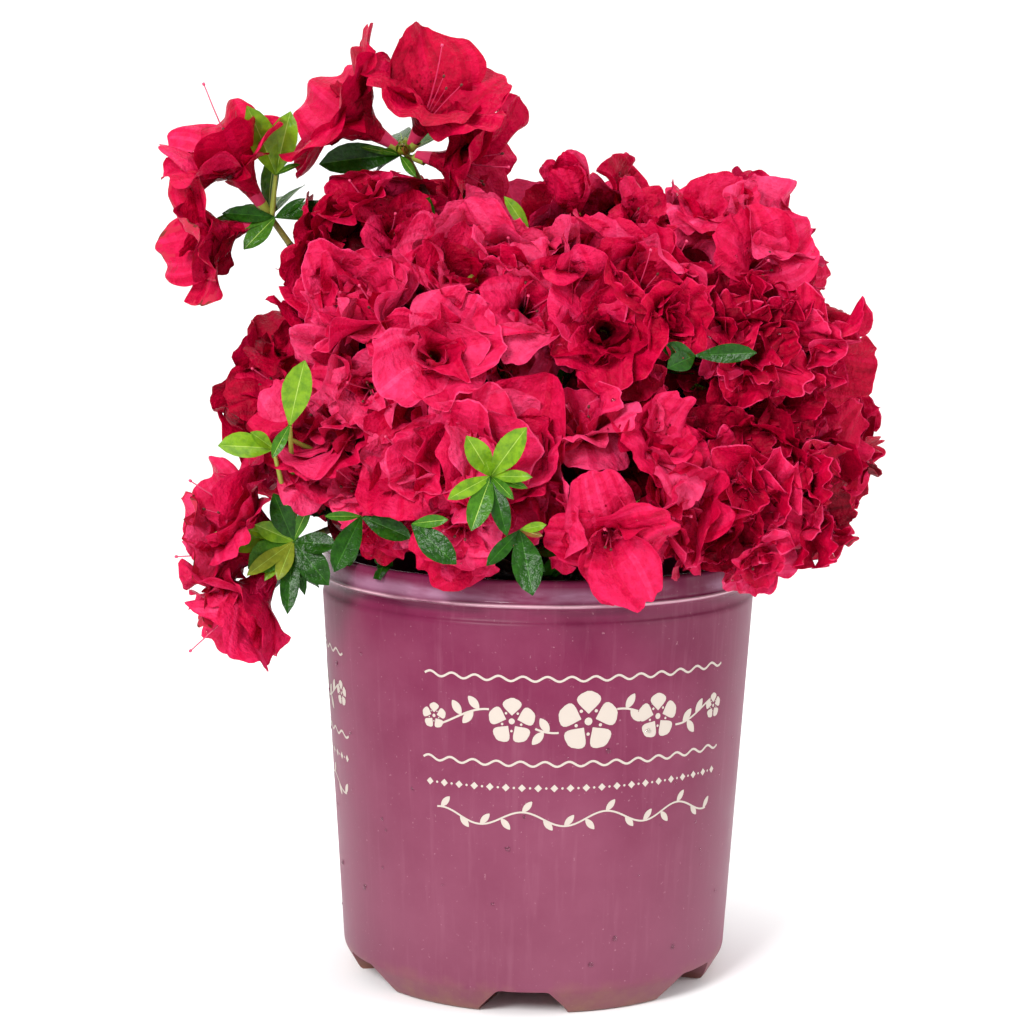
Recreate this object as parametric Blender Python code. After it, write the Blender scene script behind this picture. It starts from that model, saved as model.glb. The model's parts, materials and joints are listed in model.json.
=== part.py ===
"""A potted azalea in full bloom: a dome of semi-double flowers on boughs that fan out from one short stem.

Units are metres and +Z is up. The origin is the centre of the pot's foot, on the ground.
A bearing is an angle round the pot in degrees: 0 is the front (-Y), 90 is the right (+X).
A climb is an angle above the horizontal in degrees.
"""

import math
import random

import bmesh
import bpy
from mathutils import Vector

GAP = 0.0003  # clearance between neighbouring solids

# The moulded nursery pot
POT_HEIGHT = 0.218
FOOT_RADIUS = 0.0905
BASE_RADIUS = 0.0983
CHAMFER_HEIGHT = 0.013
BODY_RADIUS = 0.1100
BODY_TOP = 0.1965
NECK_RADIUS = 0.1085
NECK_FOOT = 0.1983
RIDGE_RADIUS = 0.1115
RIDGE_HEIGHT = 0.2062
RIDGE_THICK = 0.0012
BAND_RADIUS = 0.1102
LIP_ROUND = 0.0025
LIP_WIDTH = 0.0050
WALL = 0.0022
FLOOR_HEIGHT = CHAMFER_HEIGHT + WALL
POT_STEPS = 36

# The six drainage channels that divide the foot into pads round a flat hub
CHANNELS = 6
CHANNEL_BEARING = -3.5
CHANNEL_HUB_RADIUS = 0.045
CHANNEL_MOUTH_HALF = 13.3  # half width at the ground, in degrees
CHANNEL_ROOF_HALF = 7.6  # half width at the roof, in degrees

# The potting mix that fills the pot
MIX_TOP = 0.1985
MIX_EDGE = 0.1900
MIX_CROWN_RADIUS = 0.022

# The short stem and its boughs
STEM_FOOT = Vector((0.002, 0.003, MIX_TOP + GAP))
STEM_TOP = Vector((0.006, 0.000, 0.2420))
STEM_FLARE_RADIUS = 0.0135
STEM_RADIUS = 0.0085
STEM_TOP_RADIUS = 0.0064
STEM_SIDES = 12
BOUGH_RADIUS = 0.0026
BOUGH_TIP_RADIUS = 0.0018
BOUGH_SIDES = 5
BOUGH_STEPS = 4
TOP_BOUGH_LIFT = 0.0006  # the upright bough's slanted end clears the stem's top by about the gap

# Flowers, leaves and the trusses that carry them
HEART = Vector((0.004, 0.0, 0.236))  # the trusses of the dome face away from here
REACH = 0.055  # from the middle of a truss to the mouth of its flowers
CORE_DEPTH = 0.033  # half the thickness of the packed inside of a truss
CORE_SPREAD = 1.6  # how much wider than deep it is
FLOWER_ROOT = 0.014  # from the middle of a truss to the necks of its flowers
CAP_START = 0.35  # how far from the middle of the cap its first flower sits, in flowers
FLOWER_RADIUS = 0.0330
FLOWER_NECK = 0.0030
PETALS = 5
NOTCH_RADIUS = 0.70  # of the flower's radius, between two petals
NOTCH_DEPTH = 0.94  # of the flower's depth
LOBE_SPAN = (0.31, 0.69)  # the two corners of a petal, as shares of its angle
LOBE_DEPTH = 0.98
LOBE_WAVE = 0.12
FACE_DEPTH = 0.74  # the flower's hollow face, where it meets the axis
THROAT_RADIUS = 0.38
THROAT_DEPTH = 0.55
STALK_RADIUS = 0.0023
SHOOT_ROOT = 0.006  # from the joint of a shoot to the necks of its flowers
SHOOT_STEM = 0.016
ENTRY_LENGTH = 0.006  # of a truss's own stem outside its core
TWIG_RADIUS = 0.0014
WHORL_CAP = 112  # degrees that a whorl's leaves spread from the way it points
LEAF_SUNK = 0.0008  # how far a leaf's root goes into its twig
LEAF_LENGTH = 0.034
LEAF_WIDTH = 0.0125
LEAF_THICK = 0.0009
LEAF_WIDEST = 0.55  # of the leaf's length
LEAF_FOLD = 0.35
LEAF_DROOP = 0.08
LEAF_ROOT = 0.7  # of the core's depth, where a truss's own leaves start
LEAF_CAP = 16  # degrees that the leaves spread beyond the flowers
SPIRAL_TURN = 137.5  # degrees between one flower of a truss and the next
PRESS_MARGIN = 0.0005  # how far a truss stays behind the plane it shares with a neighbour
PRESS_LAYER = 0.0003  # each further flower stays this much more behind it, so no two end on one plane
PRESS_SOFTNESS = 0.0025  # how gradually petals give way before that plane
SHOOT_ROOM = 0.42  # a shoot's claim on the space beside a truss, whose claim is 1
NEIGHBOUR_RANGE = 4 * REACH  # between the middles of two trusses that could meet
BOUGH_RANGE = 1.9 * REACH  # from a truss's middle to a bough that could pass through it
POT_MARGIN = 0.0015  # how far petals bend clear of the rim
HEM_HEIGHT = 0.215  # the dome's underside, where it passes over the rim's edge
HEM_SLOPE = 0.50  # how steeply the underside rises from there outwards
HEM_DROOP = 0.85  # how much of that slope is lost on the right, where the crown hangs lower
ENVELOPE_WIDER = 0.0012  # what is cut from petals round the pot, beyond its ridge and above its lip
ENVELOPE_HIGHER = 0.0006
BOUGH_CLEARANCE = 0.0005

# name, bearing, spread from the pot's axis, height, flowers, leaves, where its bough leaves the stem,
# and the angle that its flowers' cap reaches from its axis
TRUSSES = (
    ("left", -90, 0.101, 0.286, 5, 2, 0.213, 74),
    ("front_left", -55, 0.099, 0.260, 5, 2, 0.213, 70),
    ("front", -18, 0.097, 0.258, 5, 2, 0.213, 68),
    ("front_right", 18, 0.097, 0.256, 5, 2, 0.213, 68),
    ("right_front", 54, 0.104, 0.252, 5, 2, 0.213, 68),
    ("right", 90, 0.112, 0.264, 5, 2, 0.213, 72),
    ("right_back", 126, 0.106, 0.262, 5, 2, 0.213, 70),
    ("back_right", 162, 0.100, 0.260, 5, 2, 0.213, 70),
    ("back_left", -162, 0.098, 0.260, 5, 2, 0.213, 70),
    ("left_back", -126, 0.102, 0.268, 5, 2, 0.213, 70),
    ("middle_left", -38, 0.090, 0.308, 4, 1, 0.2205, 58),
    ("middle_right", 64, 0.100, 0.308, 4, 1, 0.2205, 60),
    ("upper_left", -72, 0.080, 0.353, 5, 2, 0.228, 70),
    ("upper_front", -16, 0.062, 0.330, 5, 2, 0.228, 62),
    ("upper_right", 28, 0.066, 0.328, 5, 2, 0.228, 62),
    ("high_right", 86, 0.088, 0.353, 5, 1, 0.228, 70),
    ("upper_back_right", 136, 0.080, 0.332, 5, 1, 0.228, 68),
    ("upper_back", -172, 0.072, 0.334, 5, 1, 0.228, 68),
    ("upper_back_left", -122, 0.064, 0.345, 5, 1, 0.228, 66),
    ("top", 70, 0.028, 0.354, 4, 1, 0.247, 56),
)

# Sprays of young leaves that stand out of a truss: truss, bearing, climb, reach and leaves
SPRAYS = (
    ("front", 5, 11, 0.061, 8),
    ("front_left", -42, 22, 0.066, 4),
    ("top", -62, 30, 0.052, 3),
    ("right", 66, 52, 0.052, 3),
)

# Long shoots that stand out of the dome: name, bearing, spread, height, where its bough leaves the stem,
# the bough's bend as (bearing, spread, height), its flowers as (bearing, climb, reach, radius), its leaves
SHOOTS = (
    (
        "high_top", -76, 0.070, 0.416, 0.2385, (-140, 0.045, 0.335),
        ((-84, 33, 0.049, 0.041), (40, 46, 0.048, 0.039), (68, -11, 0.048, 0.036)), 7,
    ),
    (
        "high_left", -84, 0.136, 0.384, 0.2385, (-100, 0.090, 0.315),
        ((-84, 57, 0.051, 0.036), (-62, -14, 0.050, 0.036)), 9,
    ),
    (
        "low_left", -63, 0.134, 0.228, 0.204, (-66, 0.080, 0.243),
        ((-70, 30, 0.044, 0.033), (-66, -48, 0.052, 0.037), (-88, -11, 0.048, 0.032)), 12,
    ),
)

# name: colour, roughness
FINISHES = {
    "pot_plastic": ((0.26, 0.075, 0.13, 1.0), 0.5),
    "potting_bark": ((0.030, 0.020, 0.014, 1.0), 0.95),
    "bark": ((0.16, 0.10, 0.06, 1.0), 0.85),
    "petals": ((0.60, 0.008, 0.06, 1.0), 0.55),
}


# ---------------------------------------------------------------- directions and small vectors


def heading(bearing, climb=0.0):
    """The unit vector that points along a bearing and a climb."""
    b, c = math.radians(bearing), math.radians(climb)
    return Vector((math.sin(b) * math.cos(c), -math.cos(b) * math.cos(c), math.sin(c)))


def place(bearing, spread, height):
    """The point at a bearing, a distance from the pot's axis and a height."""
    point = heading(bearing) * spread
    point.z = height
    return point


def across(direction, turn=0.0):
    """Two unit vectors at right angles to a direction, turned about it by an angle in degrees."""
    helper = Vector((0, 0, 1)) if abs(direction.z) < 0.9 else Vector((0, 1, 0))
    side = direction.cross(helper).normalized()
    other = side.cross(direction).normalized()
    t = math.radians(turn)
    return side * math.cos(t) + other * math.sin(t), other * math.cos(t) - side * math.sin(t)


def tilted(axis, side, other, tilt, spin):
    """The unit vector that leans from an axis by a tilt, towards a spin about it, both in radians."""
    return axis * math.cos(tilt) + (side * math.cos(spin) + other * math.sin(spin)) * math.sin(tilt)


def bend(start, middle, end, share):
    """A point on the quadratic curve from start to end that leans towards middle."""
    return start * (1 - share) ** 2 + middle * (2 * share * (1 - share)) + end * share**2


# ---------------------------------------------------------------- where everything grows


class Flower:
    """One flower: the point its neck starts from, the way it faces, its depth, radius and turn."""

    def __init__(self, root, facing, depth, radius, turn, seed):
        self.root, self.facing, self.depth = root, facing, depth
        self.radius, self.turn, self.seed = radius, turn, seed


class Leaf:
    """One leaf: its root, the way it points, the way its upper face looks and its length."""

    def __init__(self, root, pointing, up, length):
        self.root, self.pointing, self.up, self.length = root, pointing, up, length


class Growth:
    """A truss or shoot: its middle, where its own stem starts, the axis of its core, and what it carries."""

    def __init__(self, name, middle, entry, axis, flowers, leaves, twigs):
        self.name, self.middle, self.entry, self.axis = name, middle, entry, axis
        self.flowers, self.leaves, self.twigs = flowers, leaves, twigs


def clearest(chance, axis, cap, taken, tries=10):
    """Of a few random directions within a cap, the one furthest from the directions already taken."""
    side, other = across(axis)
    best, best_room = axis, -1.0
    for _ in range(tries):
        tilt = math.radians(cap) * math.sqrt(chance.random())
        d = tilted(axis, side, other, tilt, chance.uniform(0, 2 * math.pi))
        room = min((d.angle(t) for t in taken), default=1.0)
        if room > best_room:
            best, best_room = d, room
    return best


def whorl(chance, joint, along, count, taken):
    """Leaves that spread from a joint, each where the others and the flowers leave it the most room."""
    blades = []
    for _ in range(count):
        d = clearest(chance, along, WHORL_CAP, taken, 14)
        taken.append(d)
        length = LEAF_LENGTH * chance.uniform(0.75, 1.1)
        up = (along - d * along.dot(d)).normalized()
        blades.append(Leaf(joint - d * LEAF_SUNK, d, up, length))
    return blades


def sprays_of(name):
    """The sprays that stand out of one truss, as (direction, reach, leaves)."""
    return [(heading(bearing, climb), reach, count) for truss, bearing, climb, reach, count in SPRAYS
            if truss == name]


def grow_truss(name, bearing, spread, height, flowers, leaves, cap):
    """A dense truss: flowers on a spiral over the side that faces out, with leaves between them."""
    chance = random.Random(name)
    middle = place(bearing, spread, height)
    axis = (middle - HEART).normalized()
    side, other = across(axis, chance.uniform(0, 360))
    grown = []
    for k in range(flowers):
        tilt = math.acos(1 - (1 - math.cos(math.radians(cap))) * (k + CAP_START) / flowers)
        facing = tilted(axis, side, other, tilt, math.radians(SPIRAL_TURN * k + chance.uniform(-12, 12)))
        depth = REACH * chance.uniform(0.90, 1.08) - FLOWER_ROOT
        radius = FLOWER_RADIUS * chance.uniform(0.88, 1.1)
        turn = chance.uniform(0, 360 / PETALS)
        grown.append(Flower(middle + facing * FLOWER_ROOT, facing, depth, radius, turn, chance.random()))
    taken, blades = [f.facing for f in grown], []
    for _ in range(leaves):
        d = clearest(chance, axis, cap + LEAF_CAP, taken)
        taken.append(d)
        length = LEAF_LENGTH * chance.uniform(0.85, 1.15)
        up = across(d, chance.uniform(0, 360))[0]
        blades.append(Leaf(middle + d * CORE_DEPTH * LEAF_ROOT, d, up, length))
    twigs = []
    for facing, reach, count in sprays_of(name):
        joint = middle + facing * reach
        twigs.append((middle, joint + facing * TWIG_RADIUS))
        blades += whorl(chance, joint, facing, count, taken=[-facing])
    entry = middle - axis * (CORE_DEPTH + ENTRY_LENGTH)
    return Growth(name, middle, entry, axis, grown, blades, twigs)


def grow_shoot(name, bearing, spread, height, flowers, leaves, came_from):
    """An open shoot: a few large flowers from one joint, and a whorl of leaves below them."""
    chance = random.Random(name)
    middle = place(bearing, spread, height)
    along = (middle - came_from).normalized()
    grown = []
    for face_bearing, climb, reach, radius in flowers:
        facing = heading(face_bearing, climb)
        turn = chance.uniform(0, 360 / PETALS)
        root = middle + facing * SHOOT_ROOT
        grown.append(Flower(root, facing, reach - SHOOT_ROOT, radius, turn, chance.random()))
    blades = whorl(chance, middle, along, leaves, taken=[f.facing for f in grown] + [-along])
    return Growth(name, middle, middle - along * SHOOT_STEM, None, grown, blades, [])


def grow_all():
    """Every truss and shoot with the route of its bough."""
    made = []
    for name, bearing, spread, height, flowers, leaves, leaves_at, cap in TRUSSES:
        growth = grow_truss(name, bearing, spread, height, flowers, leaves, cap)
        reach_out = (growth.entry - STEM_TOP).length
        knee = stem_point(leaves_at) + heading(bearing, 30) * reach_out * 0.5
        made.append((growth, bough_route(growth, bearing, leaves_at, knee)))
    for name, bearing, spread, height, leaves_at, knee, flowers, leaves in SHOOTS:
        growth = grow_shoot(name, bearing, spread, height, flowers, leaves, place(*knee))
        made.append((growth, bough_route(growth, knee[0], leaves_at, place(*knee))))
    return made


# ---------------------------------------------------------------- stem and boughs


def stem_point(height):
    """The point of the stem's axis at a height."""
    share = (height - STEM_FOOT.z) / (STEM_TOP.z - STEM_FOOT.z)
    return STEM_FOOT.lerp(STEM_TOP, share)


def stem_radius(height):
    """The stem's radius at a height, from the flare at its foot to its tip."""
    share = min(1.0, max(0.0, (height - STEM_FOOT.z) / (STEM_TOP.z - STEM_FOOT.z)))
    body = STEM_RADIUS + (STEM_TOP_RADIUS - STEM_RADIUS) * share
    return body + (STEM_FLARE_RADIUS - STEM_RADIUS) * math.exp(-share * 9)


def bark_clearance(height, along):
    """How far from the stem's axis a bough starts at a height, so that its end just clears the bark."""
    level = math.hypot(along.x, along.y)
    ends = [(BOUGH_RADIUS * level * side, BOUGH_RADIUS * along.z * side) for side in (-1, 0, 1)]
    return max(stem_radius(height + rise) + inward for rise, inward in ends) + GAP


def bough_route(growth, bearing, leaves_at, knee):
    """The points of the bough that carries a growth, from just clear of the stem's bark."""
    steps = [i / BOUGH_STEPS for i in range(BOUGH_STEPS + 1)]
    if leaves_at > STEM_TOP.z:
        start = STEM_TOP + Vector((0, 0, TOP_BOUGH_LIFT))
        knee = start + Vector((0, 0, (growth.entry - start).length / 2))
        return [bend(start, knee, growth.entry, share) for share in steps]
    axis = stem_point(leaves_at)
    start = axis
    for _ in range(4):  # the start and the slope there settle in a few rounds
        along = (bend(start, knee, growth.entry, steps[1]) - start).normalized()
        start = axis + heading(bearing) * bark_clearance(leaves_at, along)
    return [bend(start, knee, growth.entry, share) for share in steps]


def ring_tube(rings):
    """A closed tube through rings of points, flat at both ends."""
    bm = bmesh.new()
    loops = [[bm.verts.new(point) for point in ring] for ring in rings]
    sides = len(loops[0])
    for low, high in zip(loops, loops[1:]):
        for k in range(sides):
            bm.faces.new((low[k], low[(k + 1) % sides], high[(k + 1) % sides], high[k]))
    bm.faces.new(loops[0])
    bm.faces.new(loops[-1])
    return bm


def circle(centre, side, other, radius, count):
    """Points evenly round a circle that two unit vectors span."""
    angles = [2 * math.pi * k / count for k in range(count)]
    return [centre + (side * math.cos(a) + other * math.sin(a)) * radius for a in angles]


def tube(points, radii, sides):
    """A closed tapering tube through a run of points."""
    rings = []
    side = None
    for i, (point, radius) in enumerate(zip(points, radii)):
        along = (points[min(i + 1, len(points) - 1)] - points[max(i - 1, 0)]).normalized()
        side = across(along)[0] if side is None else (side - along * side.dot(along)).normalized()
        rings.append(circle(point, side, along.cross(side), radius, sides))
    return ring_tube(rings)


def bough(route, extra=0.0, short=1.1 * GAP):
    """A bough as a tube that ends just short of its truss. A cutter is wider and nearly full length."""
    points = list(route)
    points[-1] = points[-1] - (points[-1] - points[-2]).normalized() * short
    taper = (BOUGH_TIP_RADIUS - BOUGH_RADIUS) / BOUGH_STEPS
    return tube(points, [BOUGH_RADIUS + taper * i + extra for i in range(len(points))], BOUGH_SIDES)


def stem():
    """The short stem, cut level at the potting mix and flared at its foot."""
    heights = [STEM_FOOT.z + (STEM_TOP.z - STEM_FOOT.z) * s for s in (0, 0.06, 0.15, 0.35, 0.65, 1.0)]
    x, y = Vector((1, 0, 0)), Vector((0, 1, 0))
    return ring_tube([circle(stem_point(z), x, y, stem_radius(z), STEM_SIDES) for z in heights])


# ---------------------------------------------------------------- flowers, leaves and cores


def flower_solid(flower, open_neck):
    """A funnel with five rounded, wavy lobes and a hollow face. Its neck shows only on an open shoot."""
    chance = random.Random(flower.seed)
    side, other = across(flower.facing, flower.turn)
    bm = bmesh.new()

    def point(radius, along, degrees):
        a = math.radians(degrees)
        offset = (side * math.cos(a) + other * math.sin(a)) * radius
        return bm.verts.new(flower.root + flower.facing * along + offset)

    depth, radius = flower.depth, flower.radius
    step = 360 / PETALS
    notches = [step * k for k in range(PETALS)]
    rim = []
    for a in notches:
        wave = chance.uniform(-LOBE_WAVE, LOBE_WAVE)
        rim.append(point(radius * NOTCH_RADIUS, depth * NOTCH_DEPTH, a))
        rim.append(point(radius, depth * (LOBE_DEPTH + wave), a + step * LOBE_SPAN[0]))
        rim.append(point(radius, depth * (LOBE_DEPTH - wave), a + step * LOBE_SPAN[1]))
    heart = point(0, depth * FACE_DEPTH, 0)
    for first, second in zip(rim, rim[1:] + rim[:1]):
        bm.faces.new((first, second, heart))
    if not open_neck:
        root = point(0, 0, 0)
        for first, second in zip(rim, rim[1:] + rim[:1]):
            bm.faces.new((second, first, root))
        return bm
    neck = [point(FLOWER_NECK, -0.002, a) for a in notches]
    throat = [point(radius * THROAT_RADIUS, depth * THROAT_DEPTH, a) for a in notches]
    for k in range(PETALS):
        n = (k + 1) % PETALS
        notch, first, second, next_notch = (rim[(3 * k + i) % len(rim)] for i in range(4))
        bm.faces.new((neck[k], neck[n], throat[n], throat[k]))
        bm.faces.new((throat[k], first, notch))
        bm.faces.new((throat[k], throat[n], second, first))
        bm.faces.new((throat[n], next_notch, second))
    bm.faces.new(tuple(reversed(neck)))
    bmesh.ops.triangulate(bm, faces=bm.faces)
    return bm


def leaf_solid(leaf):
    """A lance-shaped blade of eight faces, folded a little along its midrib."""
    p, u = leaf.pointing, leaf.up
    wide = p.cross(u).normalized()
    thick = max(LEAF_THICK, leaf.length / 60)
    half = LEAF_WIDTH / 2 * leaf.length / LEAF_LENGTH
    middle = leaf.root + p * leaf.length * LEAF_WIDEST
    bm = bmesh.new()
    root = bm.verts.new(leaf.root)
    tip = bm.verts.new(leaf.root + p * leaf.length - u * leaf.length * LEAF_DROOP)
    left = bm.verts.new(middle - wide * half + u * half * LEAF_FOLD)
    right = bm.verts.new(middle + wide * half + u * half * LEAF_FOLD)
    top, under = bm.verts.new(middle + u * thick), bm.verts.new(middle - u * thick)
    for a, b in ((root, left), (left, tip), (tip, right), (right, root)):
        bm.faces.new((a, b, top))
        bm.faces.new((b, a, under))
    return bm


def core_solid(growth):
    """The packed inside of a truss, wider than it is deep."""
    bm = bmesh.new()
    bmesh.ops.create_icosphere(bm, subdivisions=1, radius=CORE_DEPTH)
    for vertex in bm.verts:
        along = growth.axis * vertex.co.dot(growth.axis)
        vertex.co = growth.middle + along + (vertex.co - along) * CORE_SPREAD
    return bm


# ---------------------------------------------------------------- keeping each truss to its own space


def room_of(growth):
    """The share of the way to a neighbour that a growth claims: an open shoot gives way to a truss."""
    return SHOOT_ROOM if growth.axis is None else 1.0


def shared_planes(growth, growths):
    """The planes between a growth and its near neighbours, as (point, unit vector back into it)."""
    planes = []
    for other in growths:
        apart = other.middle - growth.middle
        if other is not growth and apart.length < NEIGHBOUR_RANGE:
            share = room_of(growth) / (room_of(growth) + room_of(other))
            planes.append((growth.middle.lerp(other.middle, share), -apart.normalized()))
    return planes


def softly(depth):
    """A depth kept above zero by a smooth curve."""
    return (depth + math.sqrt(depth * depth + PRESS_SOFTNESS**2)) / 2


def off_pot(point):
    """How far a point is outside the pot's rounded envelope, and the way out of it."""
    out = Vector((point.x, point.y, 0))
    beyond, above = out.length - RIDGE_RADIUS, point.z - POT_HEIGHT
    out.normalize()
    if beyond > 0 and above > 0:
        away = out * beyond + Vector((0, 0, above))
        return away.length, away.normalized()
    return (beyond, out) if beyond > above else (above, Vector((0, 0, 1)))


def off_hem(point):
    """How far a point is above the dome's rising underside, and the way up from it."""
    out = Vector((point.x, point.y, 0))
    slope = HEM_SLOPE * (1 - HEM_DROOP * max(0.0, out.normalized().x))
    rise = HEM_HEIGHT + slope * max(0.0, out.length - RIDGE_RADIUS)
    away = (Vector((0, 0, 1)) - out.normalized() * slope).normalized()
    return (point.z - rise) * away.z, away


def pressed(point, planes, margin, hemmed):
    """The point moved softly clear of the planes and of the pot, as crowded petals give way."""
    moved = point.copy()
    for origin, inward in planes:
        depth = (moved - origin).dot(inward) - margin
        moved += inward * (softly(depth) - depth)
    if hemmed:
        depth, away = off_hem(moved)
        depth -= margin
        moved += away * (softly(depth) - depth)
    depth, away = off_pot(moved)
    depth -= POT_MARGIN + margin
    return moved + away * (softly(depth) - depth)


def press(bm, planes, layer, hemmed):
    """Moves a mesh clear of the planes, each layer a little further than the one before."""
    for vertex in bm.verts:
        vertex.co = pressed(vertex.co, planes, PRESS_MARGIN + PRESS_LAYER * layer, hemmed)
    return bm


def has_room(leaf, planes):
    """Whether the whole of a leaf stays inside its truss's space and clear of the pot."""
    points = [leaf.root + leaf.pointing * leaf.length * share for share in (0.3, 0.65, 1.0)]
    free = all((p - origin).dot(inward) > LEAF_WIDTH / 2 for p in points for origin, inward in planes)
    return free and all(off_pot(p)[0] > LEAF_WIDTH / 2 for p in points)


def pot_envelope():
    """The room that the pot takes up, with the clearance round it, for cutting."""
    radius, height = RIDGE_RADIUS + ENVELOPE_WIDER, POT_HEIGHT + ENVELOPE_HIGHER
    return turned(((0, 0), (radius, 0), (radius, height), (0, height)), POT_STEPS)


# ---------------------------------------------------------------- turning meshes into objects


def finish_of(name):
    """The material of that name, made once."""
    material = bpy.data.materials.get(name)
    if material is None:
        colour, roughness = FINISHES[name]
        material = bpy.data.materials.new(name)
        material.use_nodes = True
        shader = material.node_tree.nodes["Principled BSDF"]
        shader.inputs["Base Color"].default_value = colour
        shader.inputs["Roughness"].default_value = roughness
        shader.inputs["Metallic"].default_value = 0.0
        material.diffuse_color = colour
    return material


def add_object(name, bm, finish, smooth_degrees=None):
    """A scene object from a bmesh, with its faces turned outwards."""
    bmesh.ops.recalc_face_normals(bm, faces=bm.faces)
    mesh = bpy.data.meshes.new(name)
    bm.to_mesh(mesh)
    bm.free()
    if smooth_degrees is not None:
        mesh.shade_smooth()
        mesh.set_sharp_from_angle(angle=math.radians(smooth_degrees))
    mesh.materials.append(finish_of(finish))
    thing = bpy.data.objects.new(name, mesh)
    bpy.context.scene.collection.objects.link(thing)
    return thing


def apply_boolean(thing, operation, solids):
    """Joins the solids to a thing, or cuts them out of it, and removes them."""
    helpers = bpy.data.collections.new("helpers")
    bpy.context.scene.collection.children.link(helpers)
    for k, bm in enumerate(solids):
        helper = add_object(f"helper_{k}", bm, "petals")
        bpy.context.scene.collection.objects.unlink(helper)
        helpers.objects.link(helper)
    modifier = thing.modifiers.new("join", "BOOLEAN")
    modifier.operation = operation
    modifier.operand_type = "COLLECTION"
    modifier.collection = helpers
    modifier.solver = "EXACT"
    bpy.context.view_layer.update()
    graph = bpy.context.evaluated_depsgraph_get()
    joined = bpy.data.meshes.new_from_object(thing.evaluated_get(graph))
    thing.modifiers.clear()
    thing.data = joined
    for helper in list(helpers.objects):
        bpy.data.objects.remove(helper)
    bpy.data.collections.remove(helpers)


def islands(bm):
    """The vertices of each separate piece of a mesh."""
    groups, seen = [], set()
    for start in bm.verts:
        if start in seen:
            continue
        group, queue = [], [start]
        seen.add(start)
        while queue:
            vertex = queue.pop()
            group.append(vertex)
            for edge in vertex.link_edges:
                other = edge.other_vert(vertex)
                if other not in seen:
                    seen.add(other)
                    queue.append(other)
        groups.append(group)
    return groups


def keep_largest(thing):
    """Drops the loose scraps and sealed hollows that joining leaves."""
    bm = bmesh.new()
    bm.from_mesh(thing.data)
    for group in sorted(islands(bm), key=len)[:-1]:
        bmesh.ops.delete(bm, geom=group, context="VERTS")
    bm.to_mesh(thing.data)
    bm.free()


# ---------------------------------------------------------------- the pot and its filling


def turned(profile, steps):
    """A closed solid turned from (radius, height) points, which start and end on the axis."""
    bm = bmesh.new()
    verts = [bm.verts.new((radius, 0, height)) for radius, height in profile]
    edges = [bm.edges.new(pair) for pair in zip(verts, verts[1:])]
    bmesh.ops.spin(bm, geom=verts + edges, cent=(0, 0, 0), axis=(0, 0, 1), angle=2 * math.pi, steps=steps)
    bmesh.ops.remove_doubles(bm, verts=bm.verts, dist=1e-6)
    return bm


def wall_radius(height):
    """The outer radius of the tapering body at a height."""
    share = (height - CHAMFER_HEIGHT) / (BODY_TOP - CHAMFER_HEIGHT)
    return BASE_RADIUS + (BODY_RADIUS - BASE_RADIUS) * share


def pot_profile():
    """The pot's section, from the middle of its underside over the rim to the middle of its floor."""
    lip_inner = BAND_RADIUS - LIP_WIDTH
    return [
        (0, 0),
        (FOOT_RADIUS, 0),
        (BASE_RADIUS, CHAMFER_HEIGHT),
        (BODY_RADIUS, BODY_TOP),
        (NECK_RADIUS, NECK_FOOT),
        (NECK_RADIUS, RIDGE_HEIGHT - RIDGE_THICK),
        (RIDGE_RADIUS, RIDGE_HEIGHT - RIDGE_THICK / 2),
        (RIDGE_RADIUS, RIDGE_HEIGHT),
        (BAND_RADIUS, RIDGE_HEIGHT + RIDGE_THICK),
        (BAND_RADIUS - 0.0006, POT_HEIGHT - LIP_ROUND),
        (BAND_RADIUS - LIP_ROUND, POT_HEIGHT),
        (lip_inner + 0.001, POT_HEIGHT),
        (lip_inner, POT_HEIGHT - 0.001),
        (lip_inner, NECK_FOOT + 0.003),
        (wall_radius(MIX_EDGE) - WALL, MIX_EDGE),
        (wall_radius(FLOOR_HEIGHT) - WALL, FLOOR_HEIGHT),
        (0, FLOOR_HEIGHT),
    ]


def channel_cutter(bearing):
    """A wedge under the floor that runs out from the hub through the wall, narrower at its roof."""
    bm = bmesh.new()
    flare = (CHANNEL_MOUTH_HALF - CHANNEL_ROOF_HALF) / CHAMFER_HEIGHT
    below = -0.004
    section = ((below, CHANNEL_MOUTH_HALF - flare * below), (CHAMFER_HEIGHT, CHANNEL_ROOF_HALF))
    corners = []
    for spread in (CHANNEL_HUB_RADIUS, RIDGE_RADIUS + 0.01):
        for height, half in section:
            for sign in (-1, 1):
                corners.append(bm.verts.new(place(bearing + sign * half, spread, height)))
    bmesh.ops.convex_hull(bm, input=corners)
    return bm


def add_pot():
    """The pot, turned as one wall and floor, with the channels cut from its foot."""
    pot = add_object("pot", turned(pot_profile(), POT_STEPS), "pot_plastic", 30)
    bearings = [CHANNEL_BEARING + 360 * k / CHANNELS for k in range(CHANNELS)]
    apply_boolean(pot, "DIFFERENCE", [channel_cutter(b) for b in bearings])


def add_mix():
    """The potting mix as one plug that fills the pot and rises to a low mound."""
    low = FLOOR_HEIGHT + GAP
    slack = WALL + GAP
    profile = [
        (0, low),
        (wall_radius(low) - slack, low),
        (wall_radius(MIX_EDGE - GAP) - slack, MIX_EDGE - GAP),
        (MIX_CROWN_RADIUS, MIX_TOP),
        (0, MIX_TOP),
    ]
    add_object("potting_mix", turned(profile, POT_STEPS), "potting_bark", 30)


# ---------------------------------------------------------------- the plant


def own_stem(growth):
    """The short stem that a truss or shoot gathers on."""
    toward = (growth.middle - growth.entry).normalized()
    end = growth.middle + toward * STALK_RADIUS
    return tube([growth.entry, end], [BOUGH_TIP_RADIUS, STALK_RADIUS], 6)


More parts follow.
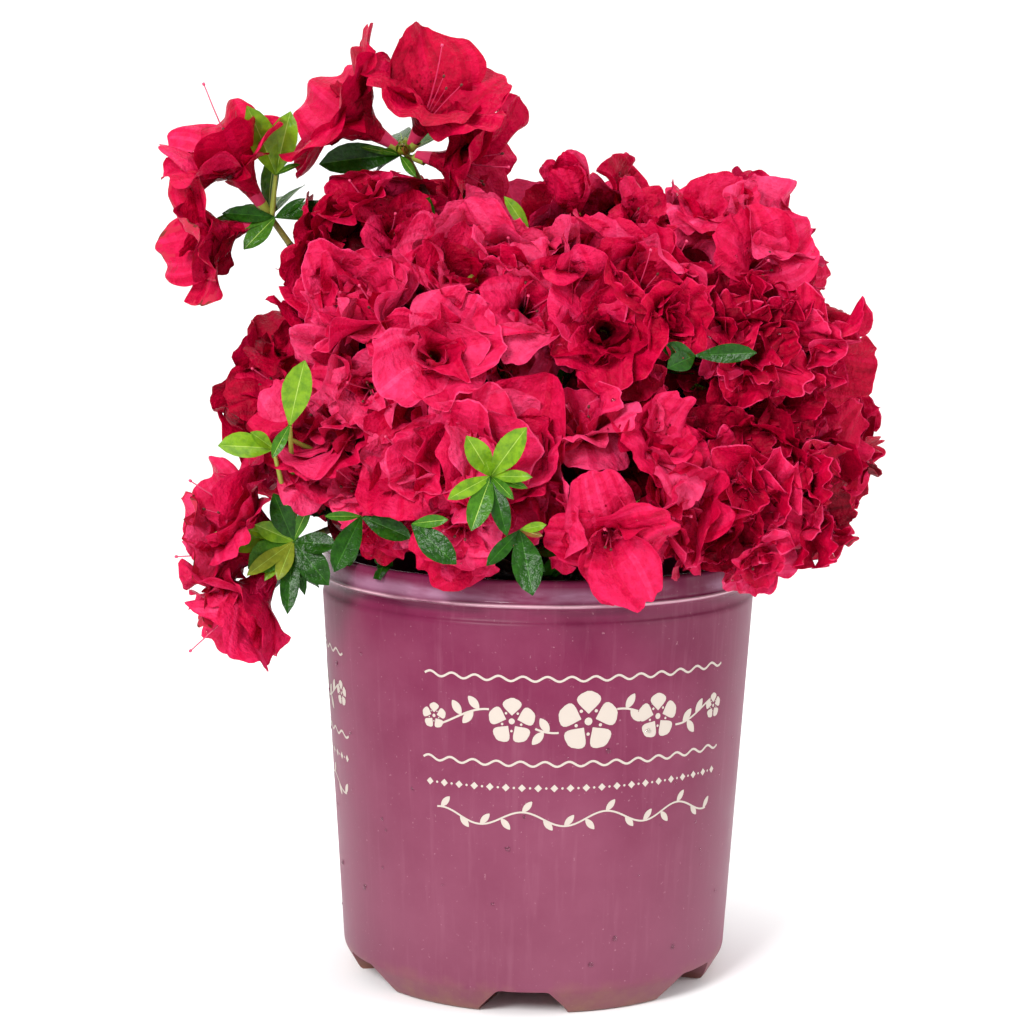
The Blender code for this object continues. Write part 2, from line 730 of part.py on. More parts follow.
def flower_stalks(growth):
    """The stalks of a shoot's flowers, from its joint into their necks."""
    return [
        tube([growth.middle - f.facing * 0.001, f.root + f.facing * STALK_RADIUS * 2], [STALK_RADIUS] * 2, 5)
        for f in growth.flowers
    ]


def cutters_near(growth, routes):
    """Widened copies of the boughs that come near a growth, and the pot's envelope where it is low."""
    near = []
    for _, route in routes:
        if min((p - growth.middle).length for p in route) < BOUGH_RANGE:
            near.append(bough(route, BOUGH_CLEARANCE, 0.1 * GAP))
    if growth.middle.z < POT_HEIGHT + BOUGH_RANGE:
        near.append(pot_envelope())
    return near


def add_growth(growth, routes):
    """One truss or shoot as a single solid, kept to its own space, clear of the boughs and the pot."""
    planes = shared_planes(growth, [other for other, _ in routes])
    open_shoot = growth.axis is None
    kind = "shoot" if open_shoot else "truss"
    thing = add_object(f"{kind}_{growth.name}", own_stem(growth), "petals")
    blooms = [flower_solid(flower, open_shoot) for flower in growth.flowers]
    solids = [press(bloom, planes, k + 1, not open_shoot) for k, bloom in enumerate(blooms)]
    solids += flower_stalks(growth) if open_shoot else [press(core_solid(growth), planes, 0, True)]
    solids += [tube([start, end], [TWIG_RADIUS] * 2, 4) for start, end in growth.twigs]
    solids += [leaf_solid(leaf) for leaf in growth.leaves if has_room(leaf, planes)]
    apply_boolean(thing, "UNION", solids)
    apply_boolean(thing, "DIFFERENCE", cutters_near(growth, routes))
    keep_largest(thing)


def main():
    for thing in list(bpy.data.objects):
        bpy.data.objects.remove(thing)
    add_pot()
    add_mix()
    add_object("stem", stem(), "bark", 40)
    routes = grow_all()
    for growth, route in routes:
        add_object(f"bough_{growth.name}", bough(route), "bark", 40)
    for growth, _ in routes:
        add_growth(growth, routes)


main()
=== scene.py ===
"""A potted azalea in full bloom, dressed over its solids: petals, leaves, twigs, bark, potting mix and pot.

Units are metres and +Z is up. A bearing is an angle round the pot in degrees: 0 is the front (-Y), 90 is
the right (+X). A climb is an angle above the horizontal in degrees.
"""

import json
import math
import random
from collections import namedtuple

import bmesh
import bpy
import numpy as np
from mathutils import Matrix, Vector

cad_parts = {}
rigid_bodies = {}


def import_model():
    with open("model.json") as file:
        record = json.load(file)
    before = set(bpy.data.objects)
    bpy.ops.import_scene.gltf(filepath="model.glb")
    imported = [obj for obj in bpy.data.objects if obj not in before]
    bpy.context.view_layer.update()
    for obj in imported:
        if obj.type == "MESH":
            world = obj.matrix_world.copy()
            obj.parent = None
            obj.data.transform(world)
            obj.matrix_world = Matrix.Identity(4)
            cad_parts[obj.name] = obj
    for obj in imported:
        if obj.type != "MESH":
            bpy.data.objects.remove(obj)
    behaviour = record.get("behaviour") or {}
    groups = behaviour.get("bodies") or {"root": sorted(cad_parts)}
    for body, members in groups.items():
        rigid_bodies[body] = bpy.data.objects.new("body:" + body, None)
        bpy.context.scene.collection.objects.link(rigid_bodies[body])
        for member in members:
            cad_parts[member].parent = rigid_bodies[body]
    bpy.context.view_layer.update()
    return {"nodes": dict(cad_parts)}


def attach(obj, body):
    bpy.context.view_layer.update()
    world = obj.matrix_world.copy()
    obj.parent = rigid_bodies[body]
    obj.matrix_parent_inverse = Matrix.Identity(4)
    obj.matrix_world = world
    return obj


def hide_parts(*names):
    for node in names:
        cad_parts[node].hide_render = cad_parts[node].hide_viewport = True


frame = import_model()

# ---------------------------------------------------------------- sizes shared with the solids

GAP = 0.0003

POT_HEIGHT = 0.218
FOOT_RADIUS = 0.0905
BASE_RADIUS = 0.0983
CHAMFER_HEIGHT = 0.013
BODY_RADIUS = 0.1100
BODY_TOP = 0.1965
NECK_RADIUS = 0.1085
NECK_FOOT = 0.1983
RIDGE_RADIUS = 0.1115
RIDGE_HEIGHT = 0.2062
RIDGE_THICK = 0.0012
BAND_RADIUS = 0.1102
LIP_WIDTH = 0.0050
WALL = 0.0022
FLOOR_HEIGHT = CHAMFER_HEIGHT + WALL
POT_STEPS = 192
LIP_TAPER = 0.0005
CORNER_CUT = 0.0022  # the longest run of an edge that a moulded corner takes

CHANNELS = 6
CHANNEL_BEARING = -3.5
CHANNEL_HUB_RADIUS = 0.045
CHANNEL_MOUTH_HALF = 13.3
CHANNEL_ROOF_HALF = 7.6

MIX_TOP = 0.1985
MIX_EDGE = 0.1900
MIX_CROWN_RADIUS = 0.022

STEM_FOOT = Vector((0.002, 0.003, MIX_TOP + GAP))
STEM_TOP = Vector((0.006, 0.000, 0.2420))
STEM_FLARE_RADIUS = 0.0135
STEM_RADIUS = 0.0085
STEM_TOP_RADIUS = 0.0064
BOUGH_RADIUS = 0.0026
BOUGH_TIP_RADIUS = 0.0018
BOUGH_STEPS = 4
TOP_BOUGH_LIFT = 0.0006

HEART = Vector((0.004, 0.0, 0.236))
REACH = 0.055
CORE_DEPTH = 0.033
FLOWER_ROOT = 0.014
CAP_START = 0.35
FLOWER_RADIUS = 0.0330
PETALS = 5
SHOOT_ROOT = 0.006
SHOOT_STEM = 0.016
ENTRY_LENGTH = 0.006
TWIG_RADIUS = 0.0014
WHORL_CAP = 112
LEAF_SUNK = 0.0008
LEAF_LENGTH = 0.034
LEAF_ROOT = 0.7
LEAF_CAP = 16
SPIRAL_TURN = 137.5
SHOOT_ROOM = 0.42
NEIGHBOUR_RANGE = 4 * REACH
HEM_HEIGHT = 0.215
HEM_SLOPE = 0.50
HEM_DROOP = 0.85

# name, bearing, spread from the pot's axis, height, flowers, leaves, where its bough leaves the stem,
# and the angle that its flowers' cap reaches from its axis
TRUSSES = (
    ("left", -90, 0.101, 0.286, 5, 2, 0.213, 74),
    ("front_left", -55, 0.099, 0.260, 5, 2, 0.213, 70),
    ("front", -18, 0.097, 0.258, 5, 2, 0.213, 68),
    ("front_right", 18, 0.097, 0.256, 5, 2, 0.213, 68),
    ("right_front", 54, 0.104, 0.252, 5, 2, 0.213, 68),
    ("right", 90, 0.112, 0.264, 5, 2, 0.213, 72),
    ("right_back", 126, 0.106, 0.262, 5, 2, 0.213, 70),
    ("back_right", 162, 0.100, 0.260, 5, 2, 0.213, 70),
    ("back_left", -162, 0.098, 0.260, 5, 2, 0.213, 70),
    ("left_back", -126, 0.102, 0.268, 5, 2, 0.213, 70),
    ("middle_left", -38, 0.090, 0.308, 4, 1, 0.2205, 58),
    ("middle_right", 64, 0.100, 0.308, 4, 1, 0.2205, 60),
    ("upper_left", -72, 0.080, 0.353, 5, 2, 0.228, 70),
    ("upper_front", -16, 0.062, 0.330, 5, 2, 0.228, 62),
    ("upper_right", 28, 0.066, 0.328, 5, 2, 0.228, 62),
    ("high_right", 86, 0.088, 0.353, 5, 1, 0.228, 70),
    ("upper_back_right", 136, 0.080, 0.332, 5, 1, 0.228, 68),
    ("upper_back", -172, 0.072, 0.334, 5, 1, 0.228, 68),
    ("upper_back_left", -122, 0.064, 0.345, 5, 1, 0.228, 66),
    ("top", 70, 0.028, 0.354, 4, 1, 0.247, 56),
)

# Sprays of young leaves that stand out of a truss: truss, bearing, climb, reach and leaves
SPRAYS = (
    ("front", 5, 11, 0.061, 8),
    ("front_left", -42, 22, 0.066, 4),
    ("top", -62, 30, 0.052, 3),
    ("right", 66, 52, 0.052, 3),
)

# Long shoots that stand out of the dome: name, bearing, spread, height, where its bough leaves the stem,
# the bough's bend as (bearing, spread, height), its flowers as (bearing, climb, reach, radius), its leaves
SHOOTS = (
    (
        "high_top", -76, 0.070, 0.416, 0.2385, (-140, 0.045, 0.335),
        ((-84, 33, 0.049, 0.041), (40, 46, 0.048, 0.039), (68, -11, 0.048, 0.036)), 7,
    ),
    (
        "high_left", -84, 0.136, 0.384, 0.2385, (-100, 0.090, 0.315),
        ((-52, 52, 0.051, 0.033), (-64, -18, 0.050, 0.032)), 9,
    ),
    (
        "low_left", -63, 0.134, 0.228, 0.204, (-66, 0.080, 0.243),
        ((-70, 30, 0.044, 0.031), (-66, -48, 0.052, 0.031), (-88, -11, 0.048, 0.031)), 12,
    ),
)

# ---------------------------------------------------------------- sizes of the finer things

FILLERS = 8  # smaller flowers that a truss packs between its main ones
FILLER_CAP = 14  # degrees that they spread beyond the main ones
FILLER_SIZE = (0.60, 0.86)  # of a main flower's radius
FILLER_REACH = (0.80, 0.95)  # of a main flower's reach
FILLER_GAP = 30  # degrees that a small flower keeps from a chosen one
MAIN_GAP = 26  # degrees that a main flower keeps from a chosen one
NOD = 17  # degrees that a flower nods off the line of its stalk, as a spread
HELD_UP = 0.85  # of its radius, how far a flower's mouth stands off the dome's underside
HELD_HIGH = {"front_left": 1.45, "front": 1.25, "left": 1.0}  # where the dome lifts off the rim
BUD_GAP = 42  # degrees that every other flower keeps from a bud, so that it stands free
HEART_PETALS = 26  # petals in the deepest colours that fill the heart of a truss, as painted shade in its gaps
HEART_PETAL_SIZE = (0.012, 0.018)
HEART_REACH = (0.30, 0.62)  # of the truss's reach, where they lie
HEART_SLACK = 0.003  # how far one may push past the line to the next truss
BLOOM_DEPTH = 0.80  # of its radius, how deep a flower's own funnel is inside the dome
BLOOM_RIM = 0.93  # of its depth, where its petals' tips stand
CROWD_SOFTNESS = 0.005  # how gradually petals give way before the space of the next truss
CROWD_SLACK = (0.000, 0.013)  # how far a petal may push past that line
CHOSEN_SLACK = 0.020  # and a petal of a flower that stands out
HEM_MARGIN = -0.0010  # how far petals lie off the dome's underside
RIM_MARGIN = 0.0012  # how far petals lie off the pot's rim
RIM_SOFTNESS = 0.0020
HEM_SOFTNESS = 0.0050

PETAL_CELLS = (15, 18)  # along and across a petal of a main flower
FRILLED_CELLS = (15, 26)
INNER_CELLS = (11, 12)
SCRAP_CELLS = (8, 8)
SHOOT_CELLS = (20, 22)
WORN_CELLS = (26, 28)  # finer, for the browned margins of a worn flower
COARSE_CELLS = {  # for the smaller flowers
    PETAL_CELLS: (10, 12), FRILLED_CELLS: (10, 18), INNER_CELLS: (8, 9), SCRAP_CELLS: (6, 6)
}
PETAL_EDGE = 0.042  # of its half width, the band along a petal's edge, painted paler as a highlight where it catches the light
NECK = 0.0024  # radius of a flower's tube where it leaves the calyx
TUBE_WIDTH = 0.80  # of its radius, half a petal's width in the tube
TIP_START = 0.46  # of its length, where a petal starts to round off to its tip
BEND_LENGTH = 0.22  # of a petal's length, over which it opens out of the tube
EDGE_WAVES = ((2.2, 1.0), (4.6, 0.8))  # broad ruffles round a petal's edge and their shares
FRILLS = ((8.0, 0.34), (12.5, 0.22))  # fine ones at its very margin
MOUTH_SPREAD = 13  # degrees by which the petals of one flower differ at its mouth
RAGGED = ((5, 0.014), (9, 0.012), (15, 0.008))  # waves of a petal's outline, and their depth as a share
LUMPS = ((1.8, 0.036), (4.0, 0.028))  # waves over its blade, and their height as a share, as the next three
FLUTES = 0.023
RIBS = 0.006
MIDRIB_GROOVE = 0.012
FLATNESS = 0.72  # how far a blade leaves the roundness of its tube

LEAF_CELLS = (8, 6)
LEAF_WIDTH = 0.0135
INSIDE_LEAVES = 26  # dark leaves that fill the inside of a truss, near black as painted shade
BETWEEN_LEAVES = 3  # leaves that look out between its flowers
INSIDE_REACH = (0.05, 0.25)  # of the truss's reach, where the inside ones start
BETWEEN_REACH = (0.38, 0.52)  # and the ones between flowers
LEAF_UPPER_SIDE = (0, -1, 0.35)  # the way a leaf that stands out turns its upper face
JOINT_RADIUS = 0.010  # a joint nearer than this to a shoot's own needs no twig

FRECKLES = 20  # on the upper petal of a flower that shows its throat
STAMENS = 4  # the first of them is the longer style
STAMEN_RADII = (0.00042, 0.00026)  # at its foot and its tip
STYLE_WIDTH = 1.2  # how much thicker the style is
STYLE_TIP_RADIUS = 0.0008
ANTHER_RADIUS = 0.0007
LONG_STYLE = 1.35  # how much longer the stamens of an open shoot's flowers are
WET_SHARE = 0.34  # of the petals, those that carry beads of water
PETAL_DROPS = (0.0005, 0.0007, 0.0010, 0.0013)  # their radii
POT_DROPS = 90
POT_DROP_RADII = (0.0005, 0.0007, 0.0009, 0.0014)

GRIME_AND_SHADE_HEIGHT = 0.2028  # of the dark band under the pot's ridge: dirt, and painted shade where the ridge overhangs
LIP_HIGHLIGHT_MIDDLE = 0.2100  # of the lip, the middle of the band where a pale highlight is painted

CHIPS = 900
MIX_CHIP = (0.004, 0.013)  # shortest and longest chip of bark
CHIP_SPREAD = 0.0995  # how far from the axis chips lie
CHIP_EDGE = 0.092  # beyond it they are smaller, so that they clear the wall
SMALL_CHIP = 0.6

STEM_SIDES = 48
STEM_BARK_SHARE = 0.985  # of the stem's radius, where the middle of its ridges of bark lies
STEM_RELIEF = 0.016  # of a limb's radius, the height of its ridges of bark
BOUGH_SIDES = 12
BOUGH_RINGS = 29
BOUGH_RELIEF = 0.03

PRINT_BEARINGS = (13, 133, 253)
PRINT_LIFT = 0.00012  # the ink's surface stands this far off the wall
PRINT_HALF = 0.082  # half the ornament's width along the wall
LINE_HEIGHTS = (0.1705, 0.1285)  # of its two wavy lines
GARLAND_HEIGHT = 0.1495
GARLAND_PARTS = ((-0.074, -0.0475), (-0.0265, -0.0135), (0.0135, 0.0265), (0.0475, 0.074))  # of its stem
GARLAND_LEAVES = ((0.0190, 58), (0.0215, -50), (0.0530, 48), (0.0560, -52), (0.0620, 55))  # place and angle
DIAMOND_HEIGHT = 0.1165
DIAMOND_STEP = 0.0078
VINE_HEIGHT = 0.1010
VINE_STEP = 0.01025  # between its leaves

Whorl = namedtuple("Whorl", "petals length width root mouth bend_at cup ruffle crimp curl cells")

# Whorls of petals from the outside in. The lengths and widths are shares of the outermost petal's length,
# root and mouth are the petal's lean from the flower's axis in its tube and at its mouth, in degrees
FORMS = {
    "open": (
        Whorl(5, 1.00, 0.41, 10, 80, 0.40, 0.06, 0.070, 0.9, 8, PETAL_CELLS),
        Whorl(5, 0.80, 0.33, 12, 52, 0.38, 0.20, 0.090, 1.0, 24, INNER_CELLS),
        Whorl(3, 0.58, 0.20, 10, 32, 0.42, 0.35, 0.090, 1.0, 28, SCRAP_CELLS),
    ),
    "wavy": (
        Whorl(5, 1.00, 0.44, 12, 68, 0.38, 0.10, 0.100, 0.9, 10, PETAL_CELLS),
        Whorl(4, 0.86, 0.38, 12, 40, 0.38, 0.18, 0.120, 1.0, 22, INNER_CELLS),
        Whorl(3, 0.66, 0.26, 10, 20, 0.40, 0.30, 0.110, 1.1, 24, SCRAP_CELLS),
    ),
    "ruffled": (
        Whorl(5, 1.00, 0.40, 12, 72, 0.38, 0.04, 0.096, 1.5, 20, FRILLED_CELLS),
        Whorl(5, 0.86, 0.36, 14, 48, 0.36, 0.10, 0.120, 1.6, 26, FRILLED_CELLS),
        Whorl(4, 0.70, 0.28, 10, 22, 0.36, 0.22, 0.120, 1.6, 28, INNER_CELLS),
    ),
    "half": (
        Whorl(5, 1.00, 0.42, 8, 54, 0.46, 0.16, 0.074, 0.9, 14, PETAL_CELLS),
        Whorl(4, 0.84, 0.32, 8, 32, 0.42, 0.34, 0.080, 1.0, 26, INNER_CELLS),
    ),
    "lobed": (
        Whorl(5, 1.00, 0.38, 9, 78, 0.44, 0.08, 0.062, 0.9, 14, SHOOT_CELLS),
        Whorl(3, 0.74, 0.24, 10, 46, 0.40, 0.26, 0.080, 1.0, 20, INNER_CELLS),
    ),
    "funnel": (
        Whorl(5, 1.00, 0.37, 8, 62, 0.50, 0.12, 0.060, 0.8, 15, SHOOT_CELLS),
        Whorl(4, 0.76, 0.25, 8, 40, 0.44, 0.20, 0.080, 1.0, 16, INNER_CELLS),
    ),
    "double": (
        Whorl(6, 1.00, 0.44, 10, 56, 0.42, 0.16, 0.070, 1.1, 16, SHOOT_CELLS),
        Whorl(5, 0.84, 0.38, 10, 36, 0.40, 0.24, 0.090, 1.2, 20, PETAL_CELLS),
        Whorl(4, 0.66, 0.28, 8, 18, 0.40, 0.34, 0.090, 1.2, 22, INNER_CELLS),
    ),
    "rosebud": (
        Whorl(5, 1.00, 0.42, 26, 42, 0.30, 0.30, 0.050, 1.0, 46, PETAL_CELLS),
        Whorl(5, 0.92, 0.34, 20, 22, 0.30, 0.50, 0.050, 1.0, 30, INNER_CELLS),
        Whorl(4, 0.82, 0.26, 12, 9, 0.30, 0.70, 0.050, 1.0, 18, INNER_CELLS),
    ),
    "bud": (
        Whorl(5, 1.00, 0.40, 38, -4, 0.46, 0.35, 0.040, 0.9, 16, PETAL_CELLS),
        Whorl(4, 0.96, 0.34, 28, -8, 0.46, 0.50, 0.036, 0.9, 12, INNER_CELLS),
    ),
}

# How each truss flowers: the forms that its flowers take in turn, how deep its colour is, and their size
HABITS = {
    "left": (("half", "open", "wavy"), 3, 0.92),
    "front_left": (("open", "wavy", "half"), 1, 1.0),
    "front": (("wavy", "open", "half"), 1, 1.0),
    "front_right": (("open", "wavy"), 1, 1.0),
    "right_front": (("ruffled", "ruffled", "wavy"), 3, 1.0),
    "right": (("ruffled", "wavy", "ruffled"), 3, 0.90),
    "right_back": (("wavy", "ruffled", "half"), 3, 1.0),
    "back_right": (("wavy", "open", "half"), 2, 1.0),
    "back_left": (("open", "ruffled", "wavy"), 2, 1.0),
    "left_back": (("half", "wavy", "open"), 3, 1.0),
    "middle_left": (("wavy", "wavy", "open"), 1, 1.0),
    "middle_right": (("ruffled", "wavy", "ruffled"), 3, 1.0),
    "upper_left": (("wavy", "open", "half"), 2, 0.95),
    "upper_front": (("wavy", "open", "wavy"), 1, 1.0),
    "upper_right": (("wavy", "half", "wavy"), 2, 0.95),
    "high_right": (("open", "wavy", "half"), 1, 0.84),
    "upper_back_right": (("wavy", "open", "ruffled"), 2, 0.84),
    "upper_back": (("open", "wavy", "half"), 1, 0.88),
    "upper_back_left": (("wavy", "half", "open"), 2, 0.84),
    "top": (("wavy", "half", "open"), 2, 0.86),
}

# Flowers that stand out of their truss: truss, bearing, climb, reach, radius, form and depth of colour
CHOSEN_FLOWERS = (
    ("front_right", 2, -14, 0.062, 0.031, "lobed", 1),
    ("front_left", 26, 10, 0.057, 0.033, "lobed", 1),
    ("high_right", 23, 12, 0.057, 0.032, "lobed", 1),
    ("high_right", -15, 56, 0.056, 0.022, "half", 1),
    ("upper_right", 33, 14, 0.064, 0.021, "rosebud", 2),
    ("top", -26, 56, 0.073, 0.034, "bud", 1),
    ("top", -24, 26, 0.058, 0.032, "bud", 3),
    ("right_front", 27, -30, 0.054, 0.020, "wavy", 1),
    ("front", -17, -34, 0.044, 0.019, "half", 2),
    ("front_left", 12, -34, 0.044, 0.015, "half", 2),
    ("right", 37, 6, 0.056, 0.031, "wavy", 2),
    ("upper_front", 17, 24, 0.056, 0.031, "funnel", 1),
    ("middle_left", 8, 24, 0.057, 0.030, "wavy", 1),
    ("upper_left", -19, -5, 0.056, 0.030, "wavy", 1),
    ("left", -47, 21, 0.052, 0.026, "open", 3),
)

SHOOT_SHADES = {"high_top": 2, "high_left": 2, "low_left": 1}  # how deep the colour of their flowers is
SHOOT_FORMS = {("low_left", 1): "double", ("low_left", 2): "double"}  # the rest are funnels

# Flowers of the shoots that are past their best, as (shoot, which of its flowers)
WORN_FLOWERS = (("high_left", 2), ("low_left", 3))

# Leaves that stand out: the growth, their joint as (bearing, climb, reach) from its middle, and for each
# leaf the way it points as (x, y, z), its length, its width as a share of the usual one, and its finish
CHOSEN_LEAVES = (
    ("front", (6, 14, 0.064), (
        ((0.52, -0.45, 0.80), 0.030, 1.1, "leaf_bright"), ((-0.45, -0.45, 0.85), 0.022, 1.2, "leaf_bright"),
        ((-0.85, -0.45, -0.40), 0.023, 1.0, "leaf_bright"), ((0.90, -0.50, 0.06), 0.021, 0.8, "leaf_bright"),
        ((-0.10, -0.60, 0.40), 0.014, 1.3, "leaf_bright"), ((-0.30, -0.50, -0.80), 0.027, 1.1, "leaf_mid"),
        ((0.45, -0.60, -0.35), 0.018, 0.8, "leaf_mid"), ((0.30, -0.50, -0.95), 0.028, 1.0, "leaf_dark"),
        ((0.95, -0.30, -0.25), 0.018, 0.7, "leaf_mid"),
    )),
    ("low_left", (-9, 48, 0.069), (
        ((-0.95, -0.30, 0.12), 0.026, 1.5, "leaf_bright"), ((-0.60, -0.50, 0.55), 0.015, 1.2, "leaf_bright"),
    )),
    ("low_left", (1, 52, 0.080), (
        ((0.20, -0.30, 0.92), 0.032, 1.1, "leaf_bright"), ((-0.35, -0.50, -0.60), 0.018, 0.9, "leaf_mid"),
    )),
    ("front_left", (-3, -10, 0.062), (
        ((-0.35, -0.50, -0.70), 0.031, 1.15, "leaf_dark"), ((0.85, -0.40, -0.30), 0.027, 1.0, "leaf_dark"),
        ((-0.80, -0.40, 0.05), 0.018, 0.7, "leaf_mid"),
    )),
    ("front", (-30, -8, 0.060), (
        ((0.70, -0.60, -0.55), 0.028, 1.1, "leaf_dark"), ((0.90, -0.50, 0.20), 0.018, 0.8, "leaf_mid"),
    )),
    ("front", (19, -9, 0.062), (
        ((0.20, -0.60, -0.80), 0.032, 1.15, "leaf_dark"), ((-0.60, -0.50, -0.60), 0.024, 0.9, "leaf_dark"),
        ((0.85, -0.50, 0.25), 0.014, 0.8, "leaf_bright"), ((0.70, -0.50, -0.10), 0.012, 0.9, "bud_brown"),
    )),
    ("upper_right", (39, -2, 0.064), (
        ((0.95, -0.40, 0.10), 0.030, 0.9, "leaf_dark"), ((-0.50, -0.70, -0.15), 0.020, 1.3, "leaf_dark"),
        ((-0.75, -0.55, 0.25), 0.018, 1.2, "leaf_dark"),
    )),
    ("upper_front", (87, 78, 0.050), (
        ((-0.45, -0.20, 0.85), 0.022, 0.8, "leaf_bright"), ((-0.85, -0.30, 0.15), 0.018, 0.9, "leaf_mid"),
    )),
    ("right", (66, 50, 0.050), (((0.60, -0.60, 0.10), 0.017, 0.9, "leaf_bright"),)),
    ("upper_left", (55, 40, 0.046), (
        ((0.60, -0.30, 0.50), 0.026, 1.3, "leaf_dark"), ((0.95, 0.00, 0.15), 0.024, 0.6, "leaf_dark"),
    )),
    ("high_top", (-60, 5, 0.004), (
        ((-0.98, -0.10, -0.08), 0.040, 0.9, "leaf_dark"), ((-0.90, -0.30, 0.20), 0.020, 0.6, "leaf_mid"),
        ((-0.50, -0.70, 0.20), 0.013, 0.7, "leaf_mid"), ((0.40, -0.60, -0.50), 0.016, 0.7, "leaf_mid"),
    )),
    ("high_left", (15, 62, 0.025), (
        ((-0.30, -0.45, 0.90), 0.037, 1.15, "leaf_bright"), ((0.22, -0.25, 0.95), 0.032, 1.1, "leaf_bright"),
        ((0.60, -0.40, 0.35), 0.014, 0.8, "leaf_mid"),
    )),
    ("high_left", (30, 10, 0.004), (
        ((-0.95, -0.30, -0.06), 0.032, 0.8, "leaf_mid"), ((-0.90, -0.35, 0.12), 0.026, 0.8, "leaf_dark"),
        ((-0.60, -0.45, -0.60), 0.022, 1.3, "leaf_mid"), ((0.90, -0.30, 0.30), 0.028, 0.7, "leaf_dark"),
        ((0.92, -0.10, 0.20), 0.036, 0.6, "leaf_mid"), ((0.80, -0.30, 0.55), 0.018, 0.8, "leaf_dark"),
    )),
    ("low_left", (0, 10, 0.016), (
        ((-0.98, -0.30, 0.16), 0.038, 0.9, "leaf_bright"),
        ((-0.95, -0.35, -0.02), 0.034, 0.7, "leaf_bright"),
        ((-0.80, -0.50, 0.45), 0.022, 1.2, "leaf_bright"), ((-0.70, -0.50, -0.35), 0.026, 1.5, "leaf_mid"),
        ((-0.85, -0.40, -0.20), 0.022, 1.2, "leaf_bright"), ((0.95, -0.35, 0.00), 0.022, 1.4, "leaf_dark"),
        ((0.60, -0.45, -0.62), 0.027, 1.35, "leaf_dark"), ((-0.05, -0.45, -0.95), 0.036, 0.7, "leaf_dark"),
        ((0.22, -0.35, -0.90), 0.026, 0.6, "leaf_dark"), ((-0.30, -0.40, 0.85), 0.026, 1.2, "leaf_dark"),
        ((0.35, -0.30, 0.85), 0.020, 0.7, "leaf_mid"), ((-0.55, -0.60, -0.70), 0.024, 0.8, "leaf_bright"),
        ((-0.75, -0.60, -0.50), 0.030, 0.7, "bud_green"), ((-0.90, -0.40, 0.30), 0.026, 0.6, "leaf_bright"),
        ((-0.30, -0.70, -0.75), 0.022, 1.0, "bud_green"),
    )),
)

# ---------------------------------------------------------------- the studio's sizes

FLOOR_NEAR = -3.0
FLOOR_FAR = 1.6
FLOOR_CURVE = 0.9  # radius of the curve that takes the floor up behind
FLOOR_TOP = 3.5
FLOOR_HALF = 4.0

LIGHTS = (  # name, place, size and power
    ("key", (-0.9, -1.8, 1.35), 0.7, 52),
    ("fill", (1.6, -0.6, 0.8), 1.2, 14),
    ("above", (0.1, 0.3, 2.2), 1.4, 22),
)
LIGHTS_AIM = Vector((0, 0, 0.25))
SKY_STRENGTH = 0.80

CAMERA_SPOT = (-0.01368, -1.45, 0.43633)
CAMERA_DOWN = 0.13743  # radians that the camera looks down, and that it is rolled
CAMERA_ROLL = 0.01161
CAMERA_LENS = 100.8
CAMERA_SENSOR = 36

# ---------------------------------------------------------------- directions and small vectors


def heading(bearing, climb=0.0):
    """The unit vector that points along a bearing and a climb."""
    b, c = math.radians(bearing), math.radians(climb)
    return Vector((math.sin(b) * math.cos(c), -math.cos(b) * math.cos(c), math.sin(c)))


def place(bearing, spread, height):
    """The point at a bearing, a distance from the pot's axis and a height."""
    point = heading(bearing) * spread
    point.z = height
    return point


def across(direction, turn=0.0):
    """Two unit vectors at right angles to a direction, turned about it by an angle in degrees."""
    helper = Vector((0, 0, 1)) if abs(direction.z) < 0.9 else Vector((0, 1, 0))
    side = direction.cross(helper).normalized()
    other = side.cross(direction).normalized()
    t = math.radians(turn)
    return side * math.cos(t) + other * math.sin(t), other * math.cos(t) - side * math.sin(t)


def tilted(axis, side, other, tilt, spin):
    """The unit vector that leans from an axis by a tilt, towards a spin about it, both in radians."""
    return axis * math.cos(tilt) + (side * math.cos(spin) + other * math.sin(spin)) * math.sin(tilt)


def bend(start, middle, end, share):
    """A point on the quadratic curve from start to end that leans towards middle."""
    return start * (1 - share) ** 2 + middle * (2 * share * (1 - share)) + end * share**2


def ease(values, low, high):
    """A smooth step from 0 at low to 1 at high."""
    x = np.clip((values - low) / (high - low), 0, 1)
    return x * x * (3 - 2 * x)


def turned_about(spin):
    """The matrix that turns rows of points about z by an angle in radians."""
    c, s = math.cos(spin), math.sin(spin)
    return np.array([[c, s, 0], [-s, c, 0], [0, 0, 1]])


def surface_up(along, wide, facing):
    """The unit vector off a surface, on the side that faces a direction."""
    up = np.cross(along, wide)
    up /= max(np.linalg.norm(up), 1e-9)
    return up if up @ facing > 0 else -up


def any_turn(chance):
    """A random start for a wave or a spin, in radians."""
    return chance.uniform(0, 6.3)


# ---------------------------------------------------------------- where everything grows


class Flower:
    """One flower: the point its neck starts from, the way it faces, its depth, radius and turn."""

    def __init__(self, root, facing, depth, radius, turn, seed):
        self.root, self.facing, self.depth = root, facing, depth
        self.radius, self.turn, self.seed = radius, turn, seed
        self.form, self.shade, self.nods, self.worn, self.small = "open", 2, True, False, False


class Leaf:
    """One leaf: its root, the way it points, the way its upper face looks, its length and its width."""

    def __init__(self, root, pointing, up, length, finish="leaf_dark", width=1.0):
        self.root, self.pointing, self.up, self.length = root, pointing, up, length
        self.finish, self.width, self.free = finish, width, False


class Growth:
    """A truss or shoot: its middle, where its own stem starts, its axis, and what it carries."""

    def __init__(self, name, middle, entry, axis, flowers, leaves, twigs):
        self.name, self.middle, self.entry, self.axis = name, middle, entry, axis
        self.flowers, self.leaves, self.twigs = flowers, leaves, twigs

    def node(self):
        """The name of the solid that stands for it."""
        return f"{'shoot' if self.axis is None else 'truss'}_{self.name}"


